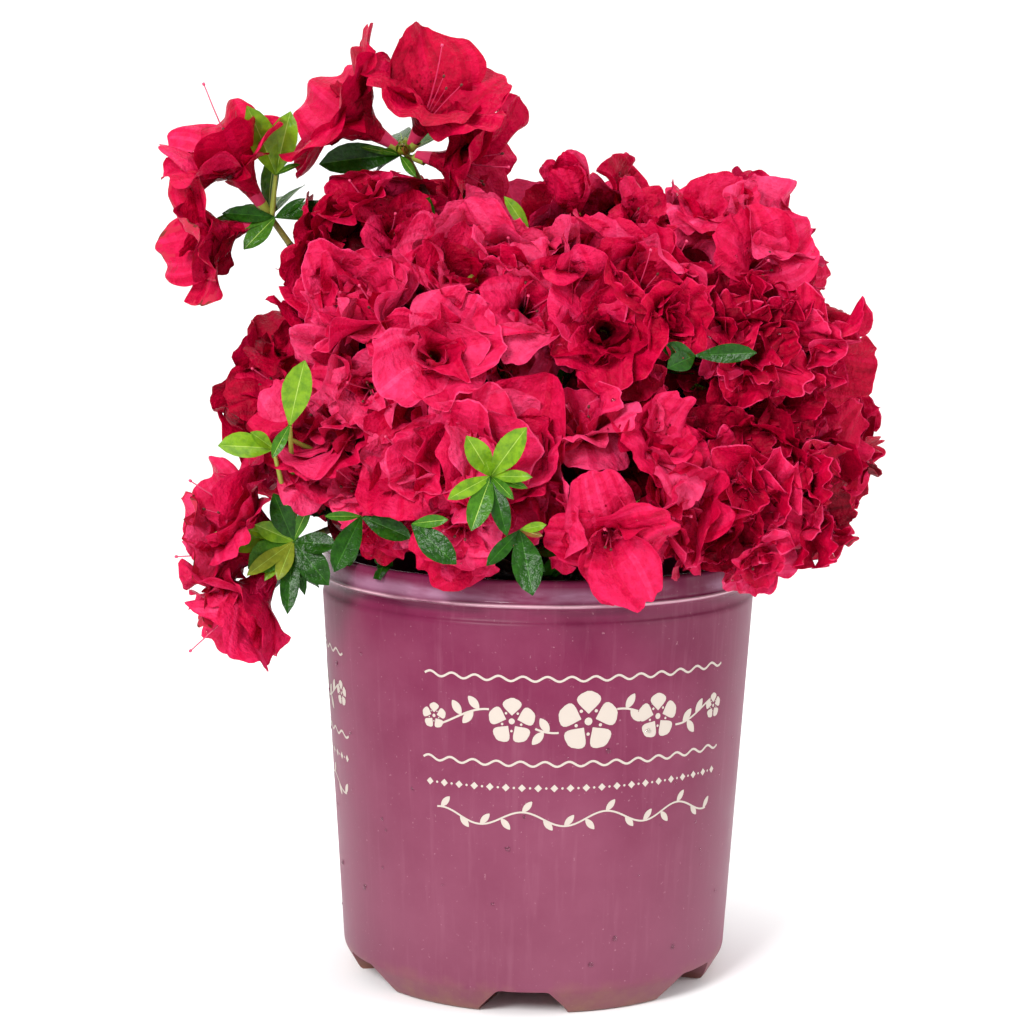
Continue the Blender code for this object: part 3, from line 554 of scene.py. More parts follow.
def clearest(chance, axis, cap, taken, tries=10):
    """Of a few random directions within a cap, the one furthest from the directions already taken."""
    side, other = across(axis)
    best, best_room = axis, -1.0
    for _ in range(tries):
        tilt = math.radians(cap) * math.sqrt(chance.random())
        d = tilted(axis, side, other, tilt, chance.uniform(0, 2 * math.pi))
        room = min((d.angle(t) for t in taken), default=1.0)
        if room > best_room:
            best, best_room = d, room
    return best


def whorl(chance, joint, along, count, taken):
    """Leaves that spread from a joint, each where the others and the flowers leave it the most room."""
    blades = []
    for _ in range(count):
        d = clearest(chance, along, WHORL_CAP, taken, 14)
        taken.append(d)
        length = LEAF_LENGTH * chance.uniform(0.75, 1.1)
        up = (along - d * along.dot(d)).normalized()
        # a leaf that points down takes the darker copy, as painted shade
        blades.append(Leaf(joint - d * LEAF_SUNK, d, up, length, "leaf_mid" if d.z > 0 else "leaf_dark"))
    return blades


def sprays_of(name):
    """The sprays that stand out of one truss, as (direction, reach, leaves)."""
    return [(heading(bearing, climb), reach, count) for truss, bearing, climb, reach, count in SPRAYS
            if truss == name]


def grow_truss(name, bearing, spread, height, flowers, leaves, cap):
    """A dense truss: flowers on a spiral over the side that faces out, with leaves between them."""
    chance = random.Random(name)
    middle = place(bearing, spread, height)
    axis = (middle - HEART).normalized()
    side, other = across(axis, chance.uniform(0, 360))
    grown = []
    for k in range(flowers):
        tilt = math.acos(1 - (1 - math.cos(math.radians(cap))) * (k + CAP_START) / flowers)
        facing = tilted(axis, side, other, tilt, math.radians(SPIRAL_TURN * k + chance.uniform(-12, 12)))
        depth = REACH * chance.uniform(0.90, 1.08) - FLOWER_ROOT
        radius = FLOWER_RADIUS * chance.uniform(0.88, 1.1)
        turn = chance.uniform(0, 360 / PETALS)
        grown.append(Flower(middle + facing * FLOWER_ROOT, facing, depth, radius, turn, chance.random()))
    taken, blades = [f.facing for f in grown], []
    for _ in range(leaves):
        d = clearest(chance, axis, cap + LEAF_CAP, taken)
        taken.append(d)
        length = LEAF_LENGTH * chance.uniform(0.85, 1.15)
        up = across(d, chance.uniform(0, 360))[0]
        blades.append(Leaf(middle + d * CORE_DEPTH * LEAF_ROOT, d, up, length))
    twigs = [(middle, middle + facing * (reach + TWIG_RADIUS)) for facing, reach, _ in sprays_of(name)]
    entry = middle - axis * (CORE_DEPTH + ENTRY_LENGTH)
    growth = Growth(name, middle, entry, axis, grown, blades, twigs)
    fill_out(growth, cap, taken)
    return growth


def fill_out(growth, cap, taken):
    """What a truss packs round its main flowers: the chosen ones, smaller ones, and leaves."""
    chance = random.Random(growth.name + " filling")
    forms, shade, size = HABITS[growth.name]
    chosen = []
    for name, bearing, climb, reach, radius, form, depth_of_colour in CHOSEN_FLOWERS:
        if name == growth.name:
            facing = heading(bearing, climb)
            root = growth.middle + facing * FLOWER_ROOT
            turn, seed = chance.uniform(0, 360 / PETALS), chance.random()
            flower = Flower(root, facing, reach - FLOWER_ROOT, radius, turn, seed)
            flower.form, flower.shade, flower.nods = form, depth_of_colour, False
            chosen.append(flower)
    growth.flowers = [f for f in growth.flowers if stands_clear(f.facing, chosen, MAIN_GAP)]
    taken += [c.facing for c in chosen]
    for _ in range(FILLERS):
        facing = clearest(chance, growth.axis, cap + FILLER_CAP, taken, 24)
        radius = FLOWER_RADIUS * chance.uniform(*FILLER_SIZE)
        depth = REACH * chance.uniform(*FILLER_REACH) - FLOWER_ROOT
        root = growth.middle + facing * FLOWER_ROOT
        turn, seed = chance.uniform(0, 360 / PETALS), chance.random()
        if stands_clear(facing, chosen, FILLER_GAP):
            taken.append(facing)
            flower = Flower(root, facing, depth, radius, turn, seed)
            flower.small = True
            growth.flowers.append(flower)
    for k, flower in enumerate(growth.flowers):
        flower.radius *= size
        flower.depth *= (1 + size) / 2
        flower.form = forms[k % len(forms)]
        flower.shade = shade + chance.choice((-1, 0, 0, 0))
        hold_up(flower, growth)
    growth.flowers += chosen
    for _ in range(BETWEEN_LEAVES):
        d = clearest(chance, growth.axis, cap + 2 * LEAF_CAP, taken, 24)
        taken.append(d)
        up = across(d, chance.uniform(0, 360))[0]
        root = growth.middle + d * REACH * chance.uniform(*BETWEEN_REACH)
        growth.leaves.append(Leaf(root, d, up, LEAF_LENGTH * chance.uniform(0.8, 1.05)))
    # near-black leaves inside the truss, as painted shade
    for _ in range(INSIDE_LEAVES):
        d = Vector([chance.gauss(0, 1) for _ in range(3)]).normalized()
        up = across(d, chance.uniform(0, 360))[0]
        root = growth.middle + d * REACH * chance.uniform(*INSIDE_REACH)
        growth.leaves.append(Leaf(root, d, up, LEAF_LENGTH * chance.uniform(0.7, 1.0), "leaf_deep"))
    choose_leaves(growth)


def stands_clear(facing, chosen, gap):
    """Whether a direction keeps its distance from the chosen flowers, and further from a bud."""
    gaps = {"bud": BUD_GAP}
    return all(math.degrees(facing.angle(f.facing)) > gaps.get(f.form, gap) for f in chosen)


def hold_up(flower, growth):
    """Turns a flower up until its mouth stands clear of the dome's underside."""
    held = HELD_HIGH.get(growth.name, HELD_UP)
    for _ in range(14):
        mouth = np.array([growth.middle + flower.facing * (FLOWER_ROOT + flower.depth)])
        if off_hem(mouth)[0][0] > flower.radius * held:
            break
        flower.facing = (flower.facing + Vector((0, 0, 0.10))).normalized()
    flower.root = growth.middle + flower.facing * FLOWER_ROOT


def choose_leaves(growth):
    """Adds the leaves that stand out of a growth, each with its upper face outwards."""
    for name, (bearing, climb, reach), leaves in CHOSEN_LEAVES:
        if name == growth.name:
            outwards = heading(bearing, climb)
            joint = growth.middle + outwards * reach
            up = (Vector(LEAF_UPPER_SIDE) + outwards * 0.4).normalized()
            for pointing, length, width, finish in leaves:
                leaf = Leaf(joint, Vector(pointing).normalized(), up, length, finish, width)
                leaf.free = True
                growth.leaves.append(leaf)
            if growth.axis is None and reach > JOINT_RADIUS:
                growth.twigs.append((growth.middle, joint))


def grow_shoot(name, bearing, spread, height, flowers, leaves, came_from):
    """An open shoot: a few large flowers from one joint, and a whorl of leaves below them."""
    chance = random.Random(name)
    middle = place(bearing, spread, height)
    along = (middle - came_from).normalized()
    grown = []
    for face_bearing, climb, reach, radius in flowers:
        facing = heading(face_bearing, climb)
        turn = chance.uniform(0, 360 / PETALS)
        root = middle + facing * SHOOT_ROOT
        flower = Flower(root, facing, reach - SHOOT_ROOT, radius, turn, chance.random())
        grown.append(flower)
        place_in_shoot = (name, len(grown))
        flower.shade, flower.nods = SHOOT_SHADES[name], False
        flower.form = SHOOT_FORMS.get(place_in_shoot, "funnel")
        flower.worn = place_in_shoot in WORN_FLOWERS
    behind = [leaf for leaf in whorl(chance, middle, along, leaves, [f.facing for f in grown] + [-along])
              if leaf.pointing.y > 0.2]
    growth = Growth(name, middle, middle - along * SHOOT_STEM, None, grown, behind, [])
    choose_leaves(growth)
    return growth


def grow_all():
    """Every truss and shoot with the route of its bough."""
    made = []
    for name, bearing, spread, height, flowers, leaves, leaves_at, cap in TRUSSES:
        growth = grow_truss(name, bearing, spread, height, flowers, leaves, cap)
        reach_out = (growth.entry - STEM_TOP).length
        knee = stem_point(leaves_at) + heading(bearing, 30) * reach_out * 0.5
        made.append((growth, bough_route(growth, bearing, leaves_at, knee)))
    for name, bearing, spread, height, leaves_at, knee, flowers, leaves in SHOOTS:
        growth = grow_shoot(name, bearing, spread, height, flowers, leaves, place(*knee))
        made.append((growth, bough_route(growth, knee[0], leaves_at, place(*knee))))
    return made


def stem_point(height):
    """The point of the stem's axis at a height."""
    share = (height - STEM_FOOT.z) / (STEM_TOP.z - STEM_FOOT.z)
    return STEM_FOOT.lerp(STEM_TOP, share)


def stem_radius(height):
    """The stem's radius at a height, from the flare at its foot to its tip."""
    share = min(1.0, max(0.0, (height - STEM_FOOT.z) / (STEM_TOP.z - STEM_FOOT.z)))
    body = STEM_RADIUS + (STEM_TOP_RADIUS - STEM_RADIUS) * share
    return body + (STEM_FLARE_RADIUS - STEM_RADIUS) * math.exp(-share * 9)


def bark_clearance(height, along):
    """How far from the stem's axis a bough starts at a height, so that its end just clears the bark."""
    level = math.hypot(along.x, along.y)
    ends = [(BOUGH_RADIUS * level * side, BOUGH_RADIUS * along.z * side) for side in (-1, 0, 1)]
    return max(stem_radius(height + rise) + inward for rise, inward in ends) + GAP


def bough_route(growth, bearing, leaves_at, knee):
    """The points of the bough that carries a growth, from just clear of the stem's bark."""
    steps = [i / BOUGH_STEPS for i in range(BOUGH_STEPS + 1)]
    if leaves_at > STEM_TOP.z:
        start = STEM_TOP + Vector((0, 0, TOP_BOUGH_LIFT))
        knee = start + Vector((0, 0, (growth.entry - start).length / 2))
        return [bend(start, knee, growth.entry, share) for share in steps]
    axis = stem_point(leaves_at)
    start = axis
    for _ in range(4):
        along = (bend(start, knee, growth.entry, steps[1]) - start).normalized()
        start = axis + heading(bearing) * bark_clearance(leaves_at, along)
    return [bend(start, knee, growth.entry, share) for share in steps]


# ---------------------------------------------------------------- many small things in one mesh


class Heap:
    """Many small things of one kind that become one mesh, with a finish for each face."""

    def __init__(self, finishes):
        self.finishes = finishes
        self.points, self.corners, self.sizes, self.choices = [], [], [], []
        self.count = 0

    def add(self, points, faces, finish):
        """Adds points (n, 3) and faces (m, 3 or 4). The finish is a name, or one number for each face."""
        faces = np.asarray(faces)
        points = np.asarray(points, float).reshape(-1, 3)
        choice = self.finishes.index(finish) if isinstance(finish, str) else finish
        self.points.append(points)
        self.corners.append((faces + self.count).ravel())
        self.sizes.append(np.full(len(faces), faces.shape[1]))
        self.choices.append(np.broadcast_to(choice, len(faces)))
        self.count += len(points)

    def piece(self, name, slot, nodes=(), smooth=True):
        """The mesh object of everything in the heap, riding with the plant."""
        points, corners = np.concatenate(self.points), np.concatenate(self.corners)
        sizes, choices = np.concatenate(self.sizes), np.concatenate(self.choices)
        mesh = bpy.data.meshes.new(name)
        mesh.vertices.add(len(points))
        mesh.vertices.foreach_set("co", points.astype(np.float32).ravel())
        mesh.loops.add(len(corners))
        mesh.loops.foreach_set("vertex_index", corners.astype(np.int32))
        mesh.polygons.add(len(sizes))
        starts = np.concatenate(([0], np.cumsum(sizes)[:-1]))
        mesh.polygons.foreach_set("loop_start", starts.astype(np.int32))
        mesh.polygons.foreach_set("material_index", choices.astype(np.int32))
        mesh.update(calc_edges=True)
        if smooth:
            mesh.shade_smooth()
        for finish in self.finishes:
            mesh.materials.append(FINISHES[finish])
        print(name, int((sizes - 2).sum()), "triangles")
        return dress(bpy.data.objects.new(name, mesh), nodes)


def dress(thing, nodes=()):
    """Puts a thing in the scene, on the plant's one body, standing for the solids it replaces."""
    bpy.context.scene.collection.objects.link(thing)
    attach(thing, "root")
    if nodes:
        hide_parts(*nodes)
    return thing


def grid_faces(rows, columns):
    """The four-sided faces of a grid of (rows + 1) by (columns + 1) points."""
    r, c = np.meshgrid(np.arange(rows), np.arange(columns), indexing="ij")
    low = (r * (columns + 1) + c).ravel()
    return np.stack([low, low + 1, low + columns + 2, low + columns + 1], axis=1)


def tube_points(route, radii, sides, relief=None):
    """The rings of points of a tube along a route. The relief moves each ring's points in or out."""
    route = [Vector(p) for p in route]
    rings, side = [], None
    angles = np.linspace(0, 2 * math.pi, sides, endpoint=False)
    for i, (point, radius) in enumerate(zip(route, radii)):
        along = (route[min(i + 1, len(route) - 1)] - route[max(i - 1, 0)]).normalized()
        side = across(along)[0] if side is None else (side - along * side.dot(along)).normalized()
        other = along.cross(side)
        reach = radius * (1 + (relief(angles, i) if relief else 0))
        ring = np.outer(np.cos(angles) * reach, side) + np.outer(np.sin(angles) * reach, other)
        rings.append(ring + np.array(point))
    return np.concatenate(rings)


def tube_faces(rings, sides):
    """The faces between the rings of a tube."""
    r, c = np.meshgrid(np.arange(rings - 1), np.arange(sides), indexing="ij")
    low, turn = (r * sides + c).ravel(), (r * sides + (c + 1) % sides).ravel()
    return np.stack([low, turn, turn + sides, low + sides], axis=1)


def fan_faces(corners):
    """The faces between a ring of corners and the one point after them."""
    return [[k, (k + 1) % corners, corners] for k in range(corners)]


def add_tube(heap, route, radii, sides, finish, relief=None):
    heap.add(tube_points(route, radii, sides, relief), tube_faces(len(radii), sides), finish)


# ---------------------------------------------------------------- keeping each truss to its own space


def room_of(growth):
    """The share of the way to a neighbour that a growth claims: an open shoot gives way to a truss."""
    return SHOOT_ROOM if growth.axis is None else 1.0


def shared_planes(growth, growths):
    """The planes between a growth and its near neighbours, as (point, unit vector back into it)."""
    planes = []
    for other in growths:
        apart = other.middle - growth.middle
        if other is not growth and apart.length < NEIGHBOUR_RANGE:
            share = room_of(growth) / (room_of(growth) + room_of(other))
            planes.append((np.array(growth.middle.lerp(other.middle, share)), -np.array(apart.normalized())))
    return planes


def softly(depth, softness):
    """A depth kept above zero by a smooth curve."""
    return (depth + np.sqrt(depth * depth + softness**2)) / 2


def off_pot(points):
    """How far points are outside the pot's rounded envelope, and the way out of it."""
    out = points * [1, 1, 0]
    reach = np.linalg.norm(out, axis=1)
    out = out / np.maximum(reach, 1e-6)[:, None]
    beyond, above = reach - RIDGE_RADIUS, points[:, 2] - POT_HEIGHT
    up = np.array([0, 0, 1.0])
    corner = (beyond > 0) & (above > 0)
    away = np.where((beyond > above)[:, None], out, up)
    diagonal = out * beyond[:, None] + up * above[:, None]
    length = np.maximum(np.linalg.norm(diagonal, axis=1), 1e-9)
    depth = np.where(corner, length, np.maximum(beyond, above))
    return depth, np.where(corner[:, None], diagonal / length[:, None], away)


def off_hem(points):
    """How far points are above the dome's underside, and the way up from it."""
    out = points * [1, 1, 0]
    reach = np.maximum(np.linalg.norm(out, axis=1), 1e-6)
    out = out / reach[:, None]
    slope = HEM_SLOPE * (1 - HEM_DROOP * np.maximum(0.0, out[:, 0]))
    rise = HEM_HEIGHT + slope * np.maximum(0.0, reach - RIDGE_RADIUS)
    away = np.array([0, 0, 1.0]) - out * slope[:, None]
    away /= np.linalg.norm(away, axis=1)[:, None]
    return (points[:, 2] - rise) * away[:, 2], away


def pressed(points, planes, slack, hemmed):
    """The points moved softly clear of the planes, of the dome's underside and of the pot."""
    moved = points.copy()
    for origin, inward in planes:
        depth = (moved - origin) @ inward + slack
        moved += np.outer(softly(depth, CROWD_SOFTNESS) - depth, inward)
    if hemmed:
        depth, away = off_hem(moved)
        depth = depth - HEM_MARGIN
        moved += away * (softly(depth, HEM_SOFTNESS) - depth)[:, None]
    depth, away = off_pot(moved)
    depth = depth - RIM_MARGIN
    return moved + away * (softly(depth, RIM_SOFTNESS) - depth)[:, None]


# ---------------------------------------------------------------- petals


def petal_midline(whorl, mouth, curl):
    """The lean, the distance out and the height of a petal's midline for a length of 1."""
    run = np.linspace(0, 1, 65)
    opened = ease(run, whorl.bend_at - BEND_LENGTH, whorl.bend_at + BEND_LENGTH)
    lean = np.radians(whorl.root + (mouth - whorl.root) * opened + curl * ease(run, 0.7, 1.0))
    step = np.diff(run)
    out = np.concatenate(([0], np.cumsum((np.sin(lean[1:]) + np.sin(lean[:-1])) / 2 * step)))
    up = np.concatenate(([0], np.cumsum((np.cos(lean[1:]) + np.cos(lean[:-1])) / 2 * step)))
    return run, lean, out, up


def petal(whorl, length, stretch, chance):
    """One petal as a grid of points in its flower's frame: x outwards, y sideways, z the way it faces."""
    rows, columns = whorl.cells
    mouth = whorl.mouth + chance.gauss(0, MOUTH_SPREAD)
    curl = whorl.curl * chance.uniform(-0.6, 1.8)
    run, lean, out, up = petal_midline(whorl, mouth, curl)
    along = length * whorl.length * chance.uniform(0.88, 1.06)

    s = np.concatenate((np.linspace(0, 1 - PETAL_EDGE / 2, rows), [1.0]))
    t = np.linspace(-1, 1, columns - 1) * (1 - PETAL_EDGE)
    t = np.concatenate(([-1.0], t, [1.0]))
    s, t = np.meshgrid(s, t, indexing="ij")
    margin = np.clip(np.maximum(np.abs(t) ** 2.0, ease(s, 0.60, 1.0) ** 1.3), 0, 1) * ease(s, 0.25, 0.62)
    notch = chance.uniform(-0.07, 0.02) * np.exp(-((t / 0.20) ** 2)) * s**5
    ragged = sum(size * np.sin(count * t + any_turn(chance)) for count, size in RAGGED)
    tip = np.clip((s - TIP_START) / (1 - TIP_START), 0, 1)
    rounded = np.where(tip > 0, TIP_START + (1 - TIP_START) * tip * np.sqrt(1 - t**2 / 2), s)
    s = rounded + notch + ragged * s**5
    t = t * np.sqrt(1 - tip**2 / 2)

    reach = np.interp(s, run, out) * along * stretch[0] + NECK
    height = np.interp(s, run, up) * along * stretch[1]
    slope = np.interp(s, run, lean)
    broad = whorl.width * chance.uniform(0.9, 1.12)
    blade = broad * along * ease(s, 0.10, 0.60) ** 0.9
    half = blade + TUBE_WIDTH * reach * (1 - ease(s, 0.22, 0.52))
    sideways = t * half

    around = np.arctan2(sideways / along, s - 0.5)
    broad_wave, fine_wave = (
        sum(
            share * chance.uniform(0.5, 1.3) * np.sin(count * whorl.crimp * around + any_turn(chance))
            for count, share in waves
        )
        for waves in (EDGE_WAVES, FRILLS)
    )
    ruffle = whorl.ruffle * along * (margin**1.1 * broad_wave + margin**3 * fine_wave)
    blown = ease(s, 0.3, 0.6)
    lumps = sum(
        size * np.sin(chance.uniform(4, 9) * s + any_turn(chance)) * np.sin(count * t + any_turn(chance))
        for count, size in LUMPS
    )
    flutes = np.sin(chance.uniform(7, 11) * t + 2.2 * s + any_turn(chance)) * (1 - 0.4 * np.abs(t))
    ribs = np.sin(0.85 * columns * t + any_turn(chance)) * (1 - t**2)
    groove = -MIDRIB_GROOVE * along * np.exp(-((t / 0.13) ** 2)) * ease(s, 0.3, 0.55)
    rolled = np.where(t > 0, chance.gauss(0, 0.26), chance.gauss(0, 0.26)) * half * np.abs(t) ** 3
    cup = whorl.cup * half * t**2 + (chance.gauss(0, 0.14) * sideways + rolled) * ease(s, 0.3, 0.8)
    lift = ruffle + cup + groove + (lumps + FLUTES * flutes + RIBS * ribs) * along * blown

    flat = ease(s, 0.25, 0.6) * FLATNESS
    turn = sideways / np.maximum(reach, NECK)
    x = reach * (np.cos(turn) * (1 - flat) + flat) - np.cos(slope) * lift
    y = reach * np.sin(turn) * (1 - flat) + sideways * flat + 0.35 * ruffle
    y += chance.gauss(0, 0.08) * along * s**2
    z = height + np.sin(slope) * lift
    return np.stack([x, y, z], axis=-1).reshape(-1, 3)


def petal_shades(cells, shade, lit, chance, tube=False, worn=False):
    """The finish of each face of a petal: its throat, darker partly as painted shade, its veined blade, and
    its edge, painted paler as a highlight.
    """
    rows, columns = cells
    start, rate = any_turn(chance), chance.uniform(1.1, 1.9)
    run = rate * np.arange(columns)
    veins = np.round(0.5 * np.sin(run + start) + 0.4 * np.sin(0.37 * run + 2 * start)).astype(int)
    choice = shade + np.zeros((rows, columns), int) + veins
    # darker towards the throat: partly the flower's own deeper throat, partly painted shade
    choice[: rows // 2, :] += 1
    choice[: rows // 3, :] += 1
    choice = np.clip(choice, 0, DEEPEST)
    choice[: max(2, rows // 6), :] = PALE_TUBE if tube else min(shade + 4, DEEPEST)
    # the edges are painted paler, as a highlight where light catches them
    choice[-1, :] = max(shade - 2 * lit, 0)
    choice[rows // 3 :, [0, -1]] = max(shade - 2 * lit, 0)
    if worn:
        waves = [(any_turn(chance), rate) for rate in (0.25, 0.62, 1.5)]
        for column in range(columns):
            deep = sum(math.sin(start + rate * column) for start, rate in waves)
            choice[rows - max(1, round(1.8 + 1.6 * deep)) :, column] = FADED
            choice[rows - max(0, round(0.1 + 0.8 * deep)) :, column] = BROWNED
    return choice.ravel()


def freckle(heap, points, cells, facing, chance):
    """The dark freckles that guide insects into the throat, on a flower's upper petal."""
    rows, columns = cells
    grid = points.reshape(rows + 1, columns + 1, 3)
    for _ in range(FRECKLES):
        row = rows * (0.30 + 0.32 * chance.random())
        column = columns * min(0.8, max(0.2, chance.gauss(0.5, 0.12)))
        r, c = int(row), int(column)
        a, b = row - r, column - c
        near = grid[r, c] * (1 - a) + grid[r + 1, c] * a
        spot = near * (1 - b) + (grid[r, c + 1] * (1 - a) + grid[r + 1, c + 1] * a) * b
        along, wide = grid[r + 1, c] - grid[r, c], grid[r, c + 1] - grid[r, c]
        up = surface_up(along, wide, facing)
        along = along / max(np.linalg.norm(along), 1e-9) * chance.uniform(0.0003, 0.0008)
        wide = np.cross(up, along) * chance.uniform(0.5, 0.8)
        angles = np.linspace(0, 2 * math.pi, 6, endpoint=False)
        ring = spot + up * 0.00025 + np.outer(np.cos(angles), along) + np.outer(np.sin(angles), wide)
        heap.add(np.concatenate([ring, [spot + up * 0.0003]]), fan_faces(6), FRECKLE)


def bloom_frame(flower, chance):
    """The three axes that a flower's own x, y and z lie along, as the rows of a matrix."""
    facing = flower.facing
    if flower.nods:
        side, other = across(facing)
        nod = math.radians(abs(chance.gauss(0, NOD)))
        facing = tilted(facing, side, other, nod, any_turn(chance))
    side, other = across(facing, flower.turn)
    return np.array([side, other, facing])


def bloom_shape(flower, open_shoot):
    """Where a flower's mouth is, its depth, its petals' length, and its stretch outwards and upwards."""
    outer = FORMS[flower.form][0]
    _, _, out, up = petal_midline(outer, outer.mouth, outer.curl * 0.5)
    rim = flower.depth * (0.97 if open_shoot else BLOOM_RIM)
    deep = rim if open_shoot else min(rim, flower.radius * BLOOM_DEPTH)
    length = flower.radius / out[-1] if out[-1] > 0.45 else deep / up[-1]
    stretch = (1.0, min(1.25, max(0.7, deep / (up[-8] * length))))
    mouth = flower.root + flower.facing * rim
    return mouth, up[-8] * length * stretch[1], length, stretch


def add_bloom(heaps, flower, planes, hemmed):
    """All whorls of one flower, with its stamens and style, and the point where its tube starts."""
    chance, tint = random.Random(flower.seed), random.Random(flower.seed + 1)
    frame_of = bloom_frame(flower, chance)
    mouth, deep, length, stretch = bloom_shape(flower, not hemmed)
    base = np.array(mouth) - frame_of[2] * deep
    deeper = 0
    # how many steps paler a petal's edge is painted, as a highlight
    lit = {"ruffled": 2, "wavy": 1, "rosebud": 1}.get(flower.form, 0)
    upper = None
    for whorl_turn, ring in enumerate(FORMS[flower.form]):
        cells = WORN_CELLS if flower.worn else COARSE_CELLS[ring.cells] if flower.small else ring.cells
        ring = ring._replace(cells=cells)
        for k in range(ring.petals):
            points = petal(ring, length, stretch, chance)
            spin = 2 * math.pi * (k + 0.5 * whorl_turn) / ring.petals + chance.gauss(0, 0.12)
            points = points @ turned_about(spin) @ frame_of + base
            shade = 2 * flower.shade + deeper + chance.choice((-2, -1, 0, 0, 0, 1, 1))
            shade = min(max(shade, 0), DEEPEST - 2)
            slack = chance.uniform(*CROWD_SLACK) if flower.nods else CHOSEN_SLACK
            points = pressed(points, planes, slack, hemmed and flower.nods)
            browned = flower.worn and whorl_turn == 0
            shades = petal_shades(ring.cells, shade, lit, tint, not hemmed, browned)
            heaps["petals"].add(points, grid_faces(*ring.cells), shades)
            if whorl_turn == 0 and (upper is None or points[:, 2].mean() > upper[:, 2].mean()):
                upper, upper_cells = points, cells
            wet_petal(heaps["drops"], points, ring.cells, frame_of[2], chance)
        # each whorl further in is painted deeper, as shade inside the flower
        deeper += chance.choice((0, 1, 2))
    if flower.form in ("open", "lobed", "funnel") and not flower.worn:
        freckle(heaps["petals"], upper, upper_cells, frame_of[2], chance)
    if flower.form not in ("bud", "rosebud", "ruffled") and chance.random() < 0.6:
        add_stamens(heaps, base, length, stretch, frame_of, planes, slack, hemmed, chance)
    return Vector(base)


def add_heart_shade_petals(heap, growth, planes, chance):
    """Deep, crumpled petals that fill the heart of a truss behind its flowers, coloured as painted shade in
    its gaps.
    """
    for _ in range(HEART_PETALS):
        d = clearest(chance, growth.axis, 88, [], 1)
        side, other = across(d, chance.uniform(0, 360))
        s, t = np.meshgrid(np.linspace(-1, 1, 6), np.linspace(-1, 1, 6), indexing="ij")
        size = chance.uniform(*HEART_PETAL_SIZE)
        lift = 0.45 * np.sin(2.6 * s + chance.uniform(0, 6)) * np.cos(2.2 * t + chance.uniform(0, 6))
        flat = np.stack([s * np.sqrt(1 - t**2 / 2), t * np.sqrt(1 - s**2 / 2), lift], axis=-1).reshape(-1, 3)
        around = np.array([side, (other + d * chance.gauss(0, 0.6)).normalized(), d]) * size
        centre = growth.middle + d * REACH * chance.uniform(*HEART_REACH)
        points = pressed(flat @ around + np.array(centre), planes, HEART_SLACK, True)
        heap.add(points, grid_faces(5, 5), chance.choice((DEEPEST - 4, DEEPEST - 2, DEEPEST - 2)))


def add_stamens(heaps, base, length, stretch, frame_of, planes, slack, hemmed, chance):
    """Fine curved filaments with dark anthers, and one longer style, that stand out of the throat."""
    for k in range(STAMENS):
        spin = 2 * math.pi * k / STAMENS + chance.uniform(-0.4, 0.4)
        style = k == 0
        reach = length * (chance.uniform(0.64, 0.80) if style else chance.uniform(0.42, 0.60))
        reach *= 1 if hemmed else LONG_STYLE
        spread = chance.uniform(0.10, 0.34)
        shares = np.linspace(0.2, 1.0, 6)
        out = spread * reach * shares**1.7
        local = np.stack([out * math.cos(spin), out * math.sin(spin), reach * shares * stretch[1]], axis=1)
        route = pressed(local @ frame_of + base, planes, slack, hemmed)
        radii = np.linspace(*STAMEN_RADII, 6) * (STYLE_WIDTH if style else 1)
        add_tube(heaps["stamens"], route, radii, 4, "filament")
        tip = Vector(route[-1])
        along = (tip - Vector(route[-2])).normalized()
        finish = "filament" if style else "anther"
        size = STYLE_TIP_RADIUS if style else ANTHER_RADIUS
        route = [tip - along * 0.0009, tip - along * 0.0004, tip + along * 0.0006, tip + along * 0.0010]
        add_tube(heaps["stamens"], route, [0.0002, size, size, 0.0002], 5, finish)


# ---------------------------------------------------------------- leaves, twigs and buds


def add_leaf(heap, leaf, planes, hemmed, chance):
    """A lance-shaped leaf, folded along its pale midrib and drooping to its tip."""
    rows, columns = (4, 6) if leaf.finish == "leaf_deep" else LEAF_CELLS
    forward, up = np.array(leaf.pointing), np.array(leaf.up)
    up = up - forward * (up @ forward)
    up /= max(np.linalg.norm(up), 1e-6)
    wide = np.cross(forward, up)
    s = np.linspace(0, 1, rows + 1)
    t = np.array([-1, -0.55, -0.035, 0, 0.035, 0.55, 1.0])
    s, t = np.meshgrid(s, t, indexing="ij")
    width = LEAF_WIDTH / 2 * leaf.width * leaf.length / LEAF_LENGTH * chance.uniform(0.85, 1.15)
    outline = np.sin(math.pi * np.clip(s, 0, 1) ** 1.15) ** 0.66 * (1 - 0.25 * (1 - s) ** 2)
    half = width * np.maximum(outline, 0.055 * (s < 0.5) + 0.02)
    droop, fold = chance.uniform(0.04, 0.24), chance.uniform(0.10, 0.30)
    sag = -droop * leaf.length * s**2
    rise = fold * np.abs(t) * half + 0.03 * leaf.length * np.sin(7 * s + 3 * t) * np.abs(t) * 0.5
    twist = chance.uniform(-0.35, 0.35) * s * t * half
    points = (
        np.array(leaf.root)
        + (s * leaf.length)[..., None] * forward
        + (t * half)[..., None] * wide
        + (sag + rise + twist)[..., None] * up
    ).reshape(-1, 3)
    choice = np.full((rows, columns), heap.finishes.index(leaf.finish))
    if leaf.finish != "leaf_deep":
        choice[:, 2:4] = heap.finishes.index("leaf_rib" if leaf.finish != "leaf_dark" else "leaf_dark_rib")
    heap.add(pressed(points, planes, 0.006, hemmed), grid_faces(rows, columns), choice.ravel())


